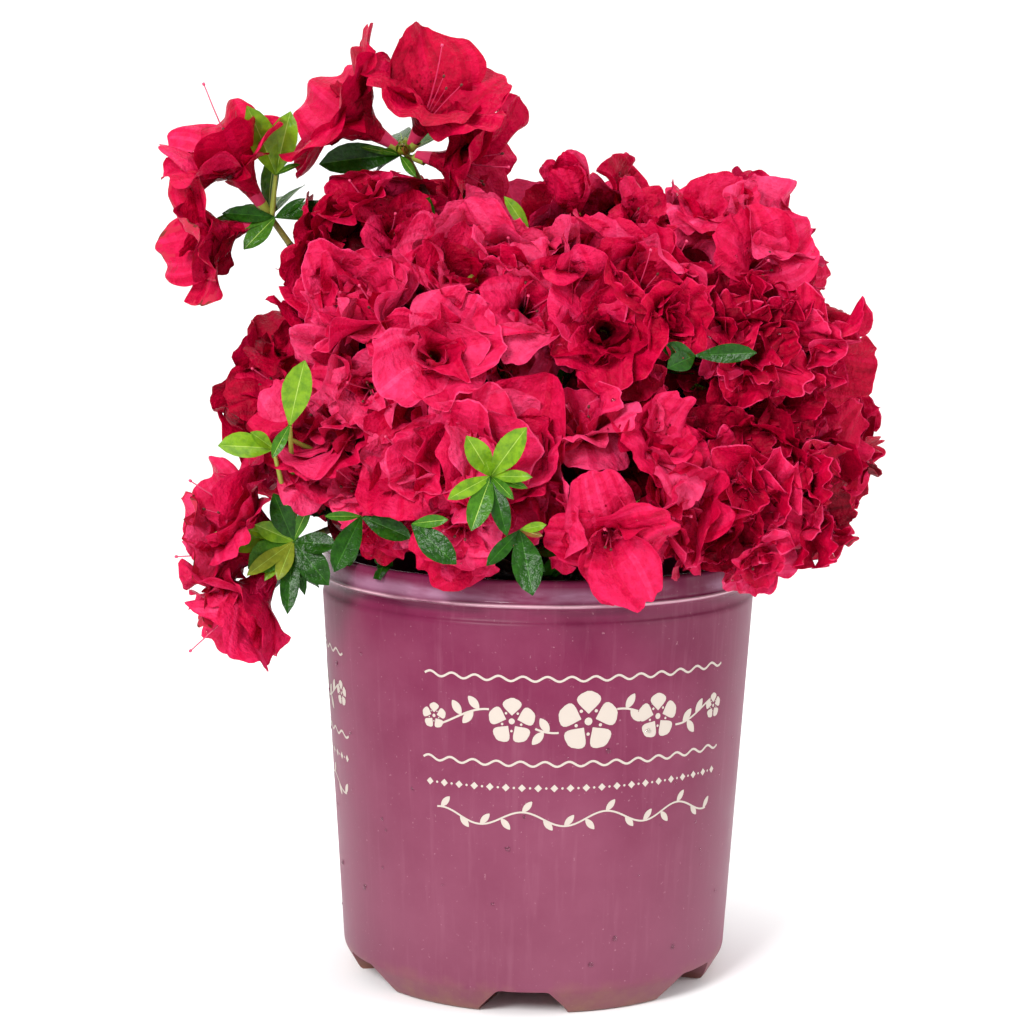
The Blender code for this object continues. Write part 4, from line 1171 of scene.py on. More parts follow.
def add_twigs(heap, growth, bases):
    """A truss's or shoot's own stem, and a stalk with a small calyx to each of its flowers."""
    toward = (growth.middle - growth.entry).normalized()
    steps = [growth.entry + toward * 0.0003, growth.entry.lerp(growth.middle, 0.5), growth.middle]
    add_tube(heap, steps, [BOUGH_TIP_RADIUS, 0.0017, 0.0016], 8, "twig")
    for flower, base in zip(growth.flowers, bases):
        start = growth.middle - flower.facing * 0.001
        low = base - flower.facing * 0.002
        route = [start, start.lerp(low, 0.4), start.lerp(low, 0.8), low, base + flower.facing * 0.004]
        add_tube(heap, route, [0.0011, 0.0009, 0.0010, 0.0021, NECK + 0.0006], 8, "stalk")
    for start, end in growth.twigs:
        add_tube(heap, [start, start.lerp(end, 0.5), end], [0.0016, 0.0014, 0.0010], 8, "stalk")


def add_bud(heap, base, pointing, length, chance):
    """A pointed bud wrapped in overlapping scales."""
    side, other = across(pointing, chance.uniform(0, 360))
    frame_of = np.array([side, other, pointing])
    for k in range(6):
        rows, columns = 6, 4
        s, t = np.meshgrid(np.linspace(0, 1, rows + 1), np.linspace(-1, 1, columns + 1), indexing="ij")
        tall = length * (1 - 0.06 * k)
        swell = 0.30 * tall * np.sin(math.pi * np.clip(0.12 + 0.88 * s, 0, 1)) ** 0.8
        half = 0.95 * (1 - s**3) + 0.03
        turn = t * half
        flare = 1 + 0.10 * (5 - k) / 5 + 0.05 * s
        points = np.stack([swell * flare * np.cos(turn), swell * flare * np.sin(turn), tall * s], axis=-1)
        spin = math.radians(SPIRAL_TURN * k)
        points = points.reshape(-1, 3) @ turned_about(spin) @ frame_of + np.array(base)
        finish = chance.choice(("bud_green", "bud_green", "bud_brown"))
        heap.add(points, grid_faces(rows, columns), finish)


# ---------------------------------------------------------------- bark


def bark_relief(seed, strength):
    """Ridges that run along a limb and break up on their way, for a tube's relief."""
    chance = random.Random(seed)
    ridges = [
        (chance.choice((3, 5, 7, 9)), any_turn(chance), chance.uniform(0.2, 0.9)) for _ in range(5)
    ]

    def relief(angles, ring):
        total = sum(np.sin(count * angles + start + wander * ring) for count, start, wander in ridges)
        return strength * (total / 3 + 0.5 * math.sin(1.9 * ring))

    return relief


def smooth_route(route, steps):
    """More points along the quadratic curve that a bough's few points lie on."""
    start, middle, end = route[0], route[len(route) // 2], route[-1]
    knee = middle * 2 - (start + end) / 2
    return [bend(start, knee, end, i / steps) for i in range(steps + 1)]


def add_limbs(routes):
    """The stem and its boughs, with the relief of thin, cracked bark."""
    heights = np.concatenate((np.linspace(0, 0.2, 8)[:-1], np.linspace(0.2, 1, 26)))
    route = [STEM_FOOT.lerp(STEM_TOP, h) for h in heights]
    radii = [stem_radius(point.z) * STEM_BARK_SHARE for point in route]
    ridges = bark_relief(3, STEM_RELIEF)
    points = []
    angles = np.linspace(0, 2 * math.pi, STEM_SIDES, endpoint=False)
    for i, (point, radius) in enumerate(zip(route, radii)):
        reach = radius * (1 + ridges(angles, i))
        level = np.full(STEM_SIDES, point.z)
        ring = [point.x + reach * np.cos(angles), point.y + reach * np.sin(angles), level]
        points.append(np.stack(ring, axis=1))
    stem = Heap(["bark"])
    stem.add(np.concatenate(points), tube_faces(len(points), STEM_SIDES), "bark")
    stem.add(np.concatenate([points[-1], [list(route[-1])]]), fan_faces(STEM_SIDES), "bark")
    stem.piece("stem_bark", "bark", ["stem"])
    boughs = Heap(["bark"])
    for k, (_, route) in enumerate(routes):
        fine = smooth_route(route, BOUGH_RINGS - 1)
        radii = np.linspace(BOUGH_RADIUS, BOUGH_TIP_RADIUS, BOUGH_RINGS)
        add_tube(boughs, fine, radii, BOUGH_SIDES, "bark", bark_relief(k + 20, BOUGH_RELIEF))
    boughs.piece("bough_bark", "bark", [f"bough_{growth.name}" for growth, _ in routes])


# ---------------------------------------------------------------- the pot


def wall_radius(height):
    """The outer radius of the tapering body at a height."""
    share = (height - CHAMFER_HEIGHT) / (BODY_TOP - CHAMFER_HEIGHT)
    return BASE_RADIUS + (BODY_RADIUS - BASE_RADIUS) * share


def soft_corners(profile, cut):
    """A profile with every corner rounded off by a short curve."""
    points = [Vector((r, 0, z)) for r, z in profile]
    made = [points[0]]
    for before, corner, after in zip(points, points[1:], points[2:]):
        start = corner + (before - corner) * min(0.42, cut / (before - corner).length)
        end = corner + (after - corner) * min(0.42, cut / (after - corner).length)
        made += [bend(start, corner, end, share) for share in (0.0, 0.25, 0.5, 0.75, 1.0)]
    return made + [points[-1]]


def turned_pot():
    """The pot as one turned wall and floor with moulded, rounded corners."""
    lip_inner = BAND_RADIUS - LIP_WIDTH
    profile = soft_corners(
        [
            (0, 0), (FOOT_RADIUS, 0), (BASE_RADIUS, CHAMFER_HEIGHT), (BODY_RADIUS, BODY_TOP),
            (NECK_RADIUS, NECK_FOOT), (NECK_RADIUS, RIDGE_HEIGHT - RIDGE_THICK),
            (RIDGE_RADIUS, RIDGE_HEIGHT - RIDGE_THICK / 2), (RIDGE_RADIUS, RIDGE_HEIGHT),
            (BAND_RADIUS, RIDGE_HEIGHT + RIDGE_THICK), (BAND_RADIUS - LIP_TAPER, POT_HEIGHT),
            (lip_inner, POT_HEIGHT), (lip_inner, NECK_FOOT + 0.003),
            (wall_radius(MIX_EDGE) - WALL, MIX_EDGE), (wall_radius(FLOOR_HEIGHT) - WALL, FLOOR_HEIGHT),
            (0, FLOOR_HEIGHT),
        ],
        CORNER_CUT,
    )
    bm = bmesh.new()
    verts = [bm.verts.new(point) for point in profile]
    edges = [bm.edges.new(pair) for pair in zip(verts, verts[1:])]
    bmesh.ops.spin(
        bm, geom=verts + edges, cent=(0, 0, 0), axis=(0, 0, 1), angle=2 * math.pi, steps=POT_STEPS
    )
    bmesh.ops.remove_doubles(bm, verts=bm.verts, dist=1e-6)
    bmesh.ops.recalc_face_normals(bm, faces=bm.faces)
    return bm


def channel_cutter(bearing):
    """A wedge under the floor that runs out from the hub through the wall, narrower at its roof."""
    bm = bmesh.new()
    flare = (CHANNEL_MOUTH_HALF - CHANNEL_ROOF_HALF) / CHAMFER_HEIGHT
    below = -0.004
    section = ((below, CHANNEL_MOUTH_HALF - flare * below), (CHAMFER_HEIGHT, CHANNEL_ROOF_HALF))
    corners = []
    for spread in (CHANNEL_HUB_RADIUS, RIDGE_RADIUS + 0.01):
        for height, half in section:
            for sign in (-1, 1):
                corners.append(bm.verts.new(place(bearing + sign * half, spread, height)))
    bmesh.ops.convex_hull(bm, input=corners)
    edges = [edge for edge in bm.edges if min(v.co.z for v in edge.verts) > CHAMFER_HEIGHT - 1e-5]
    bmesh.ops.bevel(bm, geom=edges, offset=0.0016, segments=3, affect="EDGES", profile=0.5)
    bmesh.ops.recalc_face_normals(bm, faces=bm.faces)
    return bm


def add_pot():
    """The moulded pot with the six channels cut from its foot."""
    mesh = bpy.data.meshes.new("pot_moulding")
    turned = turned_pot()
    turned.to_mesh(mesh)
    turned.free()
    pot = bpy.data.objects.new("pot_moulding", mesh)
    bpy.context.scene.collection.objects.link(pot)
    cutters = bpy.data.collections.new("channel_cutters")
    bpy.context.scene.collection.children.link(cutters)
    for k in range(CHANNELS):
        cutter = channel_cutter(CHANNEL_BEARING + 360 * k / CHANNELS)
        shape = bpy.data.meshes.new("cutter")
        cutter.to_mesh(shape)
        cutter.free()
        cutters.objects.link(bpy.data.objects.new(f"cutter_{k}", shape))
    cut = pot.modifiers.new("channels", "BOOLEAN")
    cut.operation, cut.solver = "DIFFERENCE", "EXACT"
    cut.operand_type, cut.collection = "COLLECTION", cutters
    bpy.context.view_layer.update()
    done = bpy.data.meshes.new_from_object(pot.evaluated_get(bpy.context.evaluated_depsgraph_get()))
    bpy.data.objects.remove(pot)
    for cutter in list(cutters.objects):
        bpy.data.objects.remove(cutter)
    bpy.data.collections.remove(cutters)
    done.shade_smooth()
    done.set_sharp_from_angle(angle=math.radians(28))
    done.materials.clear()
    done.materials.append(FINISHES["pot_plastic"])
    dress(bpy.data.objects.new("pot_shell", done), ["pot"])


# ---------------------------------------------------------------- the ornament printed on the pot


def on_wall(bearing, flat):
    """Points (along the wall, height) laid on the pot's wall round a bearing."""
    flat = np.asarray(flat, float)
    radius = wall_radius(flat[:, 1]) + PRINT_LIFT
    angle = math.radians(bearing) + flat[:, 0] / radius
    return np.stack([np.sin(angle) * radius, -np.cos(angle) * radius, flat[:, 1]], axis=1)


def print_stroke(heap, bearing, route, width):
    """A line of ink along a route."""
    route = np.asarray(route, float)
    along = np.gradient(route, axis=0)
    along /= np.linalg.norm(along, axis=1)[:, None]
    side = np.stack([-along[:, 1], along[:, 0]], axis=1) * width / 2
    flat = np.stack([route - side, route + side], axis=1).reshape(-1, 2)
    heap.add(on_wall(bearing, flat), grid_faces(len(route) - 1, 1), "ink")


def print_blade(heap, bearing, start, angle, length, width, blunt=1.0):
    """A leaf or petal of ink from a start point, along an angle in degrees."""
    s, t = np.meshgrid(np.linspace(0.02, 0.98, 9), np.linspace(-1, 1, 3), indexing="ij")
    half = width / 2 * np.sin(math.pi * s**blunt) ** 0.75
    a = math.radians(angle)
    run = start[0] + s * length * math.cos(a) - t * half * math.sin(a)
    height = start[1] + s * length * math.sin(a) + t * half * math.cos(a)
    flat = np.stack([run, height], axis=-1).reshape(-1, 2)
    heap.add(on_wall(bearing, flat), grid_faces(8, 2), "ink")


def print_disc(heap, bearing, centre, radius, corners=12):
    """A round spot of ink, or with four corners a diamond."""
    angles = np.linspace(0, 2 * math.pi, corners, endpoint=False)
    flat = np.stack([centre[0] + radius * np.cos(angles), centre[1] + radius * np.sin(angles)], axis=1)
    flat = np.concatenate([flat, [centre]])
    heap.add(on_wall(bearing, flat), fan_faces(corners), "ink")


def print_flower(heap, bearing, centre, radius):
    """A plain five-petalled flower with a ring of dots round its eye."""
    for k in range(5):
        angle = 90 + 72 * k
        a = math.radians(angle)
        start = (centre[0] + radius * 0.24 * math.cos(a), centre[1] + radius * 0.24 * math.sin(a))
        print_blade(heap, bearing, start, angle, radius * 0.78, radius * 0.80, 1.5)
        b = math.radians(angle + 36)
        spot = (centre[0] + radius * 0.42 * math.cos(b), centre[1] + radius * 0.42 * math.sin(b))
        print_disc(heap, bearing, spot, radius * 0.055)
    print_disc(heap, bearing, centre, radius * 0.13)


def add_print():
    """A garland between two wavy lines, a row of diamonds and a trailing vine, three times round the pot."""
    heap = Heap(["ink"])
    run = np.linspace(-PRINT_HALF, PRINT_HALF, 161)
    for bearing in PRINT_BEARINGS:
        for height in LINE_HEIGHTS:
            line = height + 0.0012 * np.sin(run * 2 * math.pi / 0.0117)
            print_stroke(heap, bearing, np.stack([run, line], axis=1), 0.0011)
        garland = GARLAND_HEIGHT + 0.0055 * np.sin(run * 2 * math.pi / 0.0655)
        for low, high in GARLAND_PARTS:
            part = (run > low) & (run < high)
            print_stroke(heap, bearing, np.stack([run, garland], axis=1)[part], 0.0010)
        print_flower(heap, bearing, (0, GARLAND_HEIGHT), 0.0150)
        for sign in (-1, 1):
            print_flower(heap, bearing, (0.0370 * sign, GARLAND_HEIGHT), 0.0115)
            print_flower(heap, bearing, (0.0765 * sign, GARLAND_HEIGHT), 0.0065)
            for spot, tilt in GARLAND_LEAVES:
                rise = float(np.interp(spot * sign, run, garland))
                angle = tilt if sign > 0 else 180 - tilt
                print_blade(heap, bearing, (spot * sign, rise), angle, 0.0085, 0.0042)
        for k in range(-10, 11):
            print_disc(heap, bearing, (k * DIAMOND_STEP, DIAMOND_HEIGHT), 0.0019, 4)
            if k < 10:
                print_disc(heap, bearing, (k * DIAMOND_STEP + DIAMOND_STEP / 2, DIAMOND_HEIGHT), 0.0006)
        vine = VINE_HEIGHT + 0.0034 * np.sin(run * 2 * math.pi / 0.041)
        print_stroke(heap, bearing, np.stack([run, vine], axis=1)[8:-8], 0.0009)
        for k in range(-7, 8):
            rise = float(np.interp(k * VINE_STEP, run, vine))
            print_blade(heap, bearing, (k * VINE_STEP, rise), 50 if k % 2 else -50, 0.0072, 0.0032)
    heap.piece("printed_garland", "pot_plastic", smooth=False)


# ---------------------------------------------------------------- the potting mix


def mix_height(spread):
    """The height of the potting mix at a distance from the pot's axis."""
    edge = wall_radius(MIX_EDGE) - WALL
    share = np.clip((spread - MIX_CROWN_RADIUS) / (edge - MIX_CROWN_RADIUS), 0, 1)
    return MIX_TOP + (MIX_EDGE - MIX_TOP) * share


def add_mix():
    """The rough top of the potting mix, with loose chips of pine bark."""
    chance = random.Random(41)
    frame["nodes"]["potting_mix"].data.materials.clear()
    frame["nodes"]["potting_mix"].data.materials.append(FINISHES["potting_soil"])
    heap = Heap(["bark_chip", "bark_chip_pale", "potting_soil"])
    box = np.array([[x, y, z] for x in (-1, 1) for y in (-1, 1) for z in (-1, 1)], float)
    sides = [[0, 1, 3, 2], [4, 6, 7, 5], [0, 4, 5, 1], [2, 3, 7, 6], [0, 2, 6, 4], [1, 5, 7, 3]]
    for _ in range(CHIPS):
        spread = CHIP_SPREAD * math.sqrt(chance.random())
        bearing = chance.uniform(0, 360)
        if spread < STEM_FLARE_RADIUS + 0.004:
            continue
        length = chance.uniform(*MIX_CHIP) * (SMALL_CHIP if spread > CHIP_EDGE else 1)
        size = np.array([length, length * chance.uniform(0.3, 0.7), length * chance.uniform(0.12, 0.3)]) / 2
        shape = box * size * [[chance.uniform(0.6, 1.1)] * 3 for _ in range(8)]
        normal = (Vector((0, 0, 1)) + Vector([chance.gauss(0, 0.3) for _ in range(3)])).normalized()
        side, other = across(normal, chance.uniform(0, 360))
        centre = place(bearing, spread, float(mix_height(spread)) + chance.uniform(-0.0005, 0.0014))
        finish = chance.choice(("bark_chip", "bark_chip", "bark_chip_pale", "potting_soil"))
        heap.add(shape @ np.array([side, other, normal]) + np.array(centre), sides, finish)
    heap.piece("bark_chips", "potting_bark", smooth=False)


# ---------------------------------------------------------------- water


def add_drop(heap, point, normal, radius, tall):
    """A bead of water that sits on a surface."""
    rows, columns = 3, 7
    s, a = np.meshgrid(np.linspace(0.04, 0.5, rows + 1), np.linspace(0, 2, columns + 1), indexing="ij")
    side, other = across(Vector(normal))
    shape = np.stack(
        [
            radius * np.sin(math.pi * s) * np.cos(math.pi * a),
            radius * np.sin(math.pi * s) * np.sin(math.pi * a),
            radius * tall * np.cos(math.pi * s),
        ],
        axis=-1,
    ).reshape(-1, 3)
    heap.add(shape @ np.array([side, other, normal]) + np.array(point), grid_faces(rows, columns), "water")


def wet_petal(heap, points, cells, facing, chance):
    """Now and then a bead or two of water on a petal's outer half."""
    if chance.random() > WET_SHARE:
        return
    rows, columns = cells
    grid = points.reshape(rows + 1, columns + 1, 3)
    for _ in range(chance.choice((1, 1, 2, 3))):
        row, column = chance.randrange(rows // 2, rows - 1), chance.randrange(2, columns - 2)
        along = grid[row + 1, column] - grid[row - 1, column]
        up = surface_up(along, grid[row, column + 1] - grid[row, column - 1], facing)
        radius = chance.choice(PETAL_DROPS)
        add_drop(heap, grid[row, column], up, radius, chance.uniform(0.55, 0.8))


def wet_pot(heap):
    """Beads of water on the pot's wall."""
    chance = random.Random(91)
    for _ in range(POT_DROPS):
        height, bearing = chance.uniform(0.02, 0.195), chance.uniform(0, 360)
        radius = chance.choice(POT_DROP_RADII)
        out = heading(bearing)
        add_drop(heap, place(bearing, wall_radius(height), height), np.array(out), radius, 0.5)


# ---------------------------------------------------------------- finishes


def linear(code):
    """An sRGB hex colour as linear red, green, blue and alpha."""
    parts = [int(code[i : i + 2], 16) / 255 for i in (1, 3, 5)]
    return (*[p / 12.92 if p <= 0.04045 else ((p + 0.055) / 1.055) ** 2.4 for p in parts], 1.0)


def add_node(tree, kind, settings=None, values=None, links=None):
    """Adds a node of a kind to a tree, with its settings, its sockets' values and links into its sockets."""
    node = tree.nodes.new(kind)
    for name, setting in (settings or {}).items():
        setattr(node, name, setting)
    for name, value in (values or {}).items():
        node.inputs[name].default_value = value
    for name, source in (links or {}).items():
        tree.links.new(source, node.inputs[name])
    return node


def new_finish(name, colour, roughness, ior=1.45, **shader_values):
    """A material with one Principled shader, and its node tree."""
    material = bpy.data.materials.new(name)
    material.use_nodes = True
    tree = material.node_tree
    tree.nodes.clear()
    values = {"Base Color": linear(colour), "Roughness": roughness, "Metallic": 0.0, "IOR": ior}
    values.update({key.replace("_", " "): value for key, value in shader_values.items()})
    shader = add_node(tree, "ShaderNodeBsdfPrincipled", values=values)
    output = add_node(tree, "ShaderNodeOutputMaterial", links={"Surface": shader.outputs["BSDF"]})
    material.diffuse_color = linear(colour)
    FINISHES[name] = material
    return tree, shader, output


def let_light_through(tree, shader, output, colour, share):
    """Mixes in the light that thin tissue lets through from behind."""
    glow = add_node(tree, "ShaderNodeBsdfTranslucent", values={"Color": linear(colour)})
    mix = add_node(
        tree, "ShaderNodeMixShader", values={0: share},
        links={1: shader.outputs["BSDF"], 2: glow.outputs["BSDF"]},
    )
    tree.links.new(mix.outputs["Shader"], output.inputs["Surface"])


def crinkle(tree, shader, grain_mm, depth_mm, detail=3.0):
    """Fine relief with a grain and a depth in millimetres, and the height that it follows."""
    spot = add_node(tree, "ShaderNodeTexCoord").outputs["Object"]
    noise = add_node(
        tree, "ShaderNodeTexNoise", values={"Scale": 1000 / grain_mm, "Detail": detail, "Roughness": 0.6},
        links={"Vector": spot},
    )
    bump = add_node(
        tree, "ShaderNodeBump", values={"Strength": 1.0, "Distance": depth_mm / 1000},
        links={"Height": noise.outputs["Fac"]},
    )
    tree.links.new(bump.outputs["Normal"], shader.inputs["Normal"])
    return noise.outputs["Fac"]


def laid_over(tree, under, colour, pattern, low, high, least=0.0, most=1.0, band=None):
    """A colour laid over another, more and more as a pattern goes from low to high, and only in a band
    where one is given. What is under it is a colour or the result of an earlier layer."""
    share = add_node(
        tree, "ShaderNodeMapRange",
        values={"From Min": low, "From Max": high, "To Min": least, "To Max": most},
        links={"Value": pattern},
    ).outputs["Result"]
    if band is not None:
        share = add_node(
            tree, "ShaderNodeMath", {"operation": "MULTIPLY"}, links={0: band, 1: share}
        ).outputs["Value"]
    values, links = {7: linear(colour)}, {0: share}
    if isinstance(under, str):
        values[6] = linear(under)
    else:
        links[6] = under
    return add_node(tree, "ShaderNodeMix", {"data_type": "RGBA"}, values, links).outputs[2]


def paint_shade_in_hollows(tree, shader, relief, colour, deep, share):
    """Darkens a finish's colour in the hollows of its relief, as painted shade."""
    hollowed = laid_over(tree, colour, deep, relief, 0.62, 0.36, 0.0, share)
    tree.links.new(hollowed, shader.inputs["Base Color"])


def band_at(tree, height, middle, near, far):
    """1 up to near of a height, falling to 0 at far from it."""
    away = add_node(tree, "ShaderNodeMath", {"operation": "SUBTRACT"}, {1: middle}, {0: height})
    gap = add_node(tree, "ShaderNodeMath", {"operation": "ABSOLUTE"}, links={0: away.outputs["Value"]})
    share = add_node(
        tree, "ShaderNodeMapRange", values={"From Min": near, "From Max": far, "To Min": 1.0, "To Max": 0.0},
        links={"Value": gap.outputs["Value"]},
    )
    return share.outputs["Result"]


FINISHES = {}

# Crimson petals by half steps, from the palest, a painted highlight where light catches an edge, to the
# deepest, partly painted shade in a throat
PETAL_COLOURS = (
    "#DE4070", "#D83062", "#D22154", "#CA1447", "#C0073A", "#B40330", "#A8012A",
    "#950125", "#86001F", "#730019", "#600013", "#4C000D", "#380007",
)
DEEPEST = len(PETAL_COLOURS) - 1
PALE_TUBE, FADED, BROWNED, FRECKLE = DEEPEST + 1, DEEPEST + 2, DEEPEST + 3, DEEPEST - 4
LEAF_FINISHES = [
    "leaf_bright", "leaf_mid", "leaf_dark", "leaf_deep", "leaf_rib", "leaf_dark_rib",
    "bud_green", "bud_brown",
]
PETAL_FINISHES = [f"petal_{k}" for k in range(DEEPEST + 1)] + ["petal_tube", "petal_faded", "petal_browned"]


def make_petal_tissue():
    """Thin, soft tissue that glows where light comes through it. Its crinkles are drawn coarser and deeper
    than the real ones, which are too fine to show, and painted shade darkens the colour in their hollows.
    The outside of a flower's tube is paler, and tissue fades, dries and browns as a flower ages."""
    for k, colour in enumerate(PETAL_COLOURS):
        tree, shader, output = new_finish(f"petal_{k}", colour, 0.36, 1.38, Specular_IOR_Level=0.09)
        relief = crinkle(tree, shader, 4.5, 2.4, 4.0)
        paint_shade_in_hollows(tree, shader, relief, colour, PETAL_COLOURS[min(k + 3, DEEPEST)], 0.6)
        let_light_through(tree, shader, output, colour, 0.16)
    for name, colour, roughness in (
        ("petal_tube", "#C23058", 0.45), ("petal_faded", "#B41838", 0.6), ("petal_browned", "#702A20", 0.75),
    ):
        tree, shader, output = new_finish(name, colour, roughness, 1.40, Specular_IOR_Level=0.25)
        crinkle(tree, shader, 2.0, 0.25)
        let_light_through(tree, shader, output, colour, 0.12)


def make_stamen_tissue():
    """Moist pink filaments with matt, dark anthers."""
    new_finish("filament", "#C83660", 0.4)
    new_finish("anther", "#5A2A20", 0.7)


def make_young_leaf():
    """Soft and bright, lit through from behind, with a paler rib and painted shade in the hollows of its
    crinkles. Buds have scales of the same tissue.
    """
    for name, colour, deep, glow in (
        ("leaf_bright", "#6F9616", "#42700E", "#86AE18"), ("leaf_rib", "#98B44E", "#86A83C", "#A4C050"),
        ("bud_green", "#7C8A24", "#5C6C18", "#909C2C"), ("bud_brown", "#7E5420", "#5A3A18", "#7E5420"),
    ):
        tree, shader, output = new_finish(name, colour, 0.36, 1.42, Specular_IOR_Level=0.3)
        relief = crinkle(tree, shader, 4.0, 0.6)
        paint_shade_in_hollows(tree, shader, relief, colour, deep, 0.8)
        let_light_through(tree, shader, output, glow, 0.16)


def make_mature_leaf():
    """Leathery, with a waxy gloss and sunken veins, painted shade in the hollows of its relief, and near
    black as painted shade inside the plant.
    """
    for name, colour, deep in (
        ("leaf_mid", "#3C6A16", "#28500F"), ("leaf_dark", "#1E480C", "#103006"),
        ("leaf_dark_rib", "#34621C", "#24500F"), ("leaf_deep", "#0F200A", "#0A1807"),
    ):
        tree, shader, output = new_finish(name, colour, 0.24, 1.45, Specular_IOR_Level=0.16)
        relief = crinkle(tree, shader, 3.2, 0.7)
        paint_shade_in_hollows(tree, shader, relief, colour, deep, 0.8)


def make_wood():
    """This year's smooth, green wood, its soft flower stalks, and the thin, cracked bark of older wood."""
    new_finish("twig", "#6E6A2C", 0.55)
    new_finish("stalk", "#8E9A3C", 0.5)
    tree, shader, _ = new_finish("bark", "#5B4636", 0.85)
    crinkle(tree, shader, 1.2, 0.3, 6.0)


def make_pine_bark():
    """Damp composted pine bark: dark fines with browner chips."""
    for name, colour in (
        ("potting_soil", "#1C130D"), ("bark_chip", "#3A261A"), ("bark_chip_pale", "#5C4230"),
    ):
        tree, shader, _ = new_finish(name, colour, 0.9)
        crinkle(tree, shader, 1.0, 0.4, 6.0)


def make_ink_and_water():
    """Screen-printed ink, matt and slightly chalky, and clear rain water."""
    new_finish("ink", "#B5AAA0", 0.6)
    new_finish("water", "#FFFFFF", 0.02, 1.33, Transmission_Weight=1.0)


def make_pot_plastic():
    """Injection-moulded polypropylene: satin, dusty and finely streaked, with dirt and painted shade under
    its ridge, pale highlights painted on its lip and ridge, and splashed with soil at its foot."""
    tree, shader, _ = new_finish("pot_plastic", "#651037", 0.38, 1.49, Specular_IOR_Level=0.18)
    spot = add_node(tree, "ShaderNodeTexCoord").outputs["Object"]
    height = add_node(tree, "ShaderNodeSeparateXYZ", links={"Vector": spot}).outputs["Z"]
    patterns = {}
    for name, size_mm, detail, roughness, drawn_out in (
        ("film", 62.5, 5.0, 0.6, 1.0), ("streaks", 4.17, 3.0, 0.6, 0.05), ("specks", 1.61, 2.0, 0.5, 1.0),
        ("patches", 52.6, 4.0, 0.55, 3.5), ("splashes", 18.2, 6.0, 0.7, 1.0),
    ):
        drawn = add_node(
            tree, "ShaderNodeVectorMath", {"operation": "MULTIPLY"}, {1: (1.0, 1.0, drawn_out)}, {0: spot}
        )
        pattern = add_node(
            tree, "ShaderNodeTexNoise",
            values={"Scale": 1000 / size_mm, "Detail": detail, "Roughness": roughness},
            links={"Vector": drawn.outputs["Vector"]},
        )
        patterns[name] = pattern.outputs["Fac"]
    near_foot = add_node(
        tree, "ShaderNodeMapRange", values={"From Min": 0.030, "From Max": 0.0, "To Max": 1.1},
        links={"Value": height},
    )
    splashed = add_node(
        tree, "ShaderNodeMath", {"operation": "MULTIPLY"},
        links={0: near_foot.outputs["Result"], 1: patterns["splashes"]},
    )
    grime_and_shade_under_ridge = band_at(tree, height, GRIME_AND_SHADE_HEIGHT, 0.0006, 0.0026)
    painted_lip_highlight = band_at(tree, height, LIP_HIGHLIGHT_MIDDLE, 0.0012, 0.0050)
    painted_ridge_highlight = band_at(tree, height, RIDGE_HEIGHT - RIDGE_THICK / 2, 0.0005, 0.0013)

    worn = "#631037"
    for colour, pattern, low, high, least, most, band in (
        ("#8E4E66", patterns["film"], 0.35, 0.75, 0.04, 0.42, None),
        ("#8A5A6A", height, 0.17, 0.03, 0.0, 0.34, None),
        ("#A06A7C", patterns["streaks"], 0.55, 0.85, 0.0, 0.16, None),
        ("#A87C88", patterns["specks"], 0.70, 0.78, 0.0, 0.5, None),
        # dark patches under the ridge: dirt, and painted shade where the ridge overhangs
        ("#3A1226", patterns["patches"], 0.42, 0.62, 0.0, 0.6, grime_and_shade_under_ridge),
        # a pale highlight painted in patches on the lip
        ("#A8829C", patterns["patches"], 0.42, 0.62, 0.0, 0.55, painted_lip_highlight),
        # a pale highlight painted along the ridge, where it catches the light
        ("#D0A4B2", patterns["film"], 0.32, 0.48, 0.0, 1.0, painted_ridge_highlight),
        ("#84604E", splashed.outputs["Value"], 0.22, 0.62, 0.0, 0.75, None),
    ):
        worn = laid_over(tree, worn, colour, pattern, low, high, least, most, band)
    tree.links.new(worn, shader.inputs["Base Color"])

    dulled = add_node(
        tree, "ShaderNodeMapRange",
        values={"From Min": 0.3, "From Max": 0.7, "To Min": 0.33, "To Max": 0.50},
        links={"Value": patterns["film"]},
    )
    polished = add_node(
        tree, "ShaderNodeMapRange",
        values={"From Min": 0.199, "From Max": 0.206, "To Min": 1.0, "To Max": 0.45},
        links={"Value": height},
    )
    gloss = add_node(
        tree, "ShaderNodeMath", {"operation": "MULTIPLY"},
        links={0: dulled.outputs["Result"], 1: polished.outputs["Result"]},
    )
    tree.links.new(gloss.outputs["Value"], shader.inputs["Roughness"])
    crinkle(tree, shader, 1.4, 0.02)


# ---------------------------------------------------------------- the studio


def add_floor():
    """A plain pale floor that curves up behind."""
    profile = [(FLOOR_NEAR, 0.0), (FLOOR_FAR, 0.0)]
    for k in range(1, 13):
        a = math.pi / 2 * k / 12
        profile.append((FLOOR_FAR + FLOOR_CURVE * math.sin(a), FLOOR_CURVE - FLOOR_CURVE * math.cos(a)))
    profile.append((FLOOR_FAR + FLOOR_CURVE, FLOOR_TOP))
    points = [(x, y, z) for y, z in profile for x in (-FLOOR_HALF, FLOOR_HALF)]
    mesh = bpy.data.meshes.new("studio_floor")
    mesh.from_pydata(points, [], grid_faces(len(profile) - 1, 1).tolist())
    mesh.shade_smooth()
    new_finish("studio_paper", "#F7F7F7", 0.95, Specular_IOR_Level=0.0)
    mesh.materials.append(FINISHES["studio_paper"])
    floor = bpy.data.objects.new("studio_floor", mesh)
    bpy.context.scene.collection.objects.link(floor)


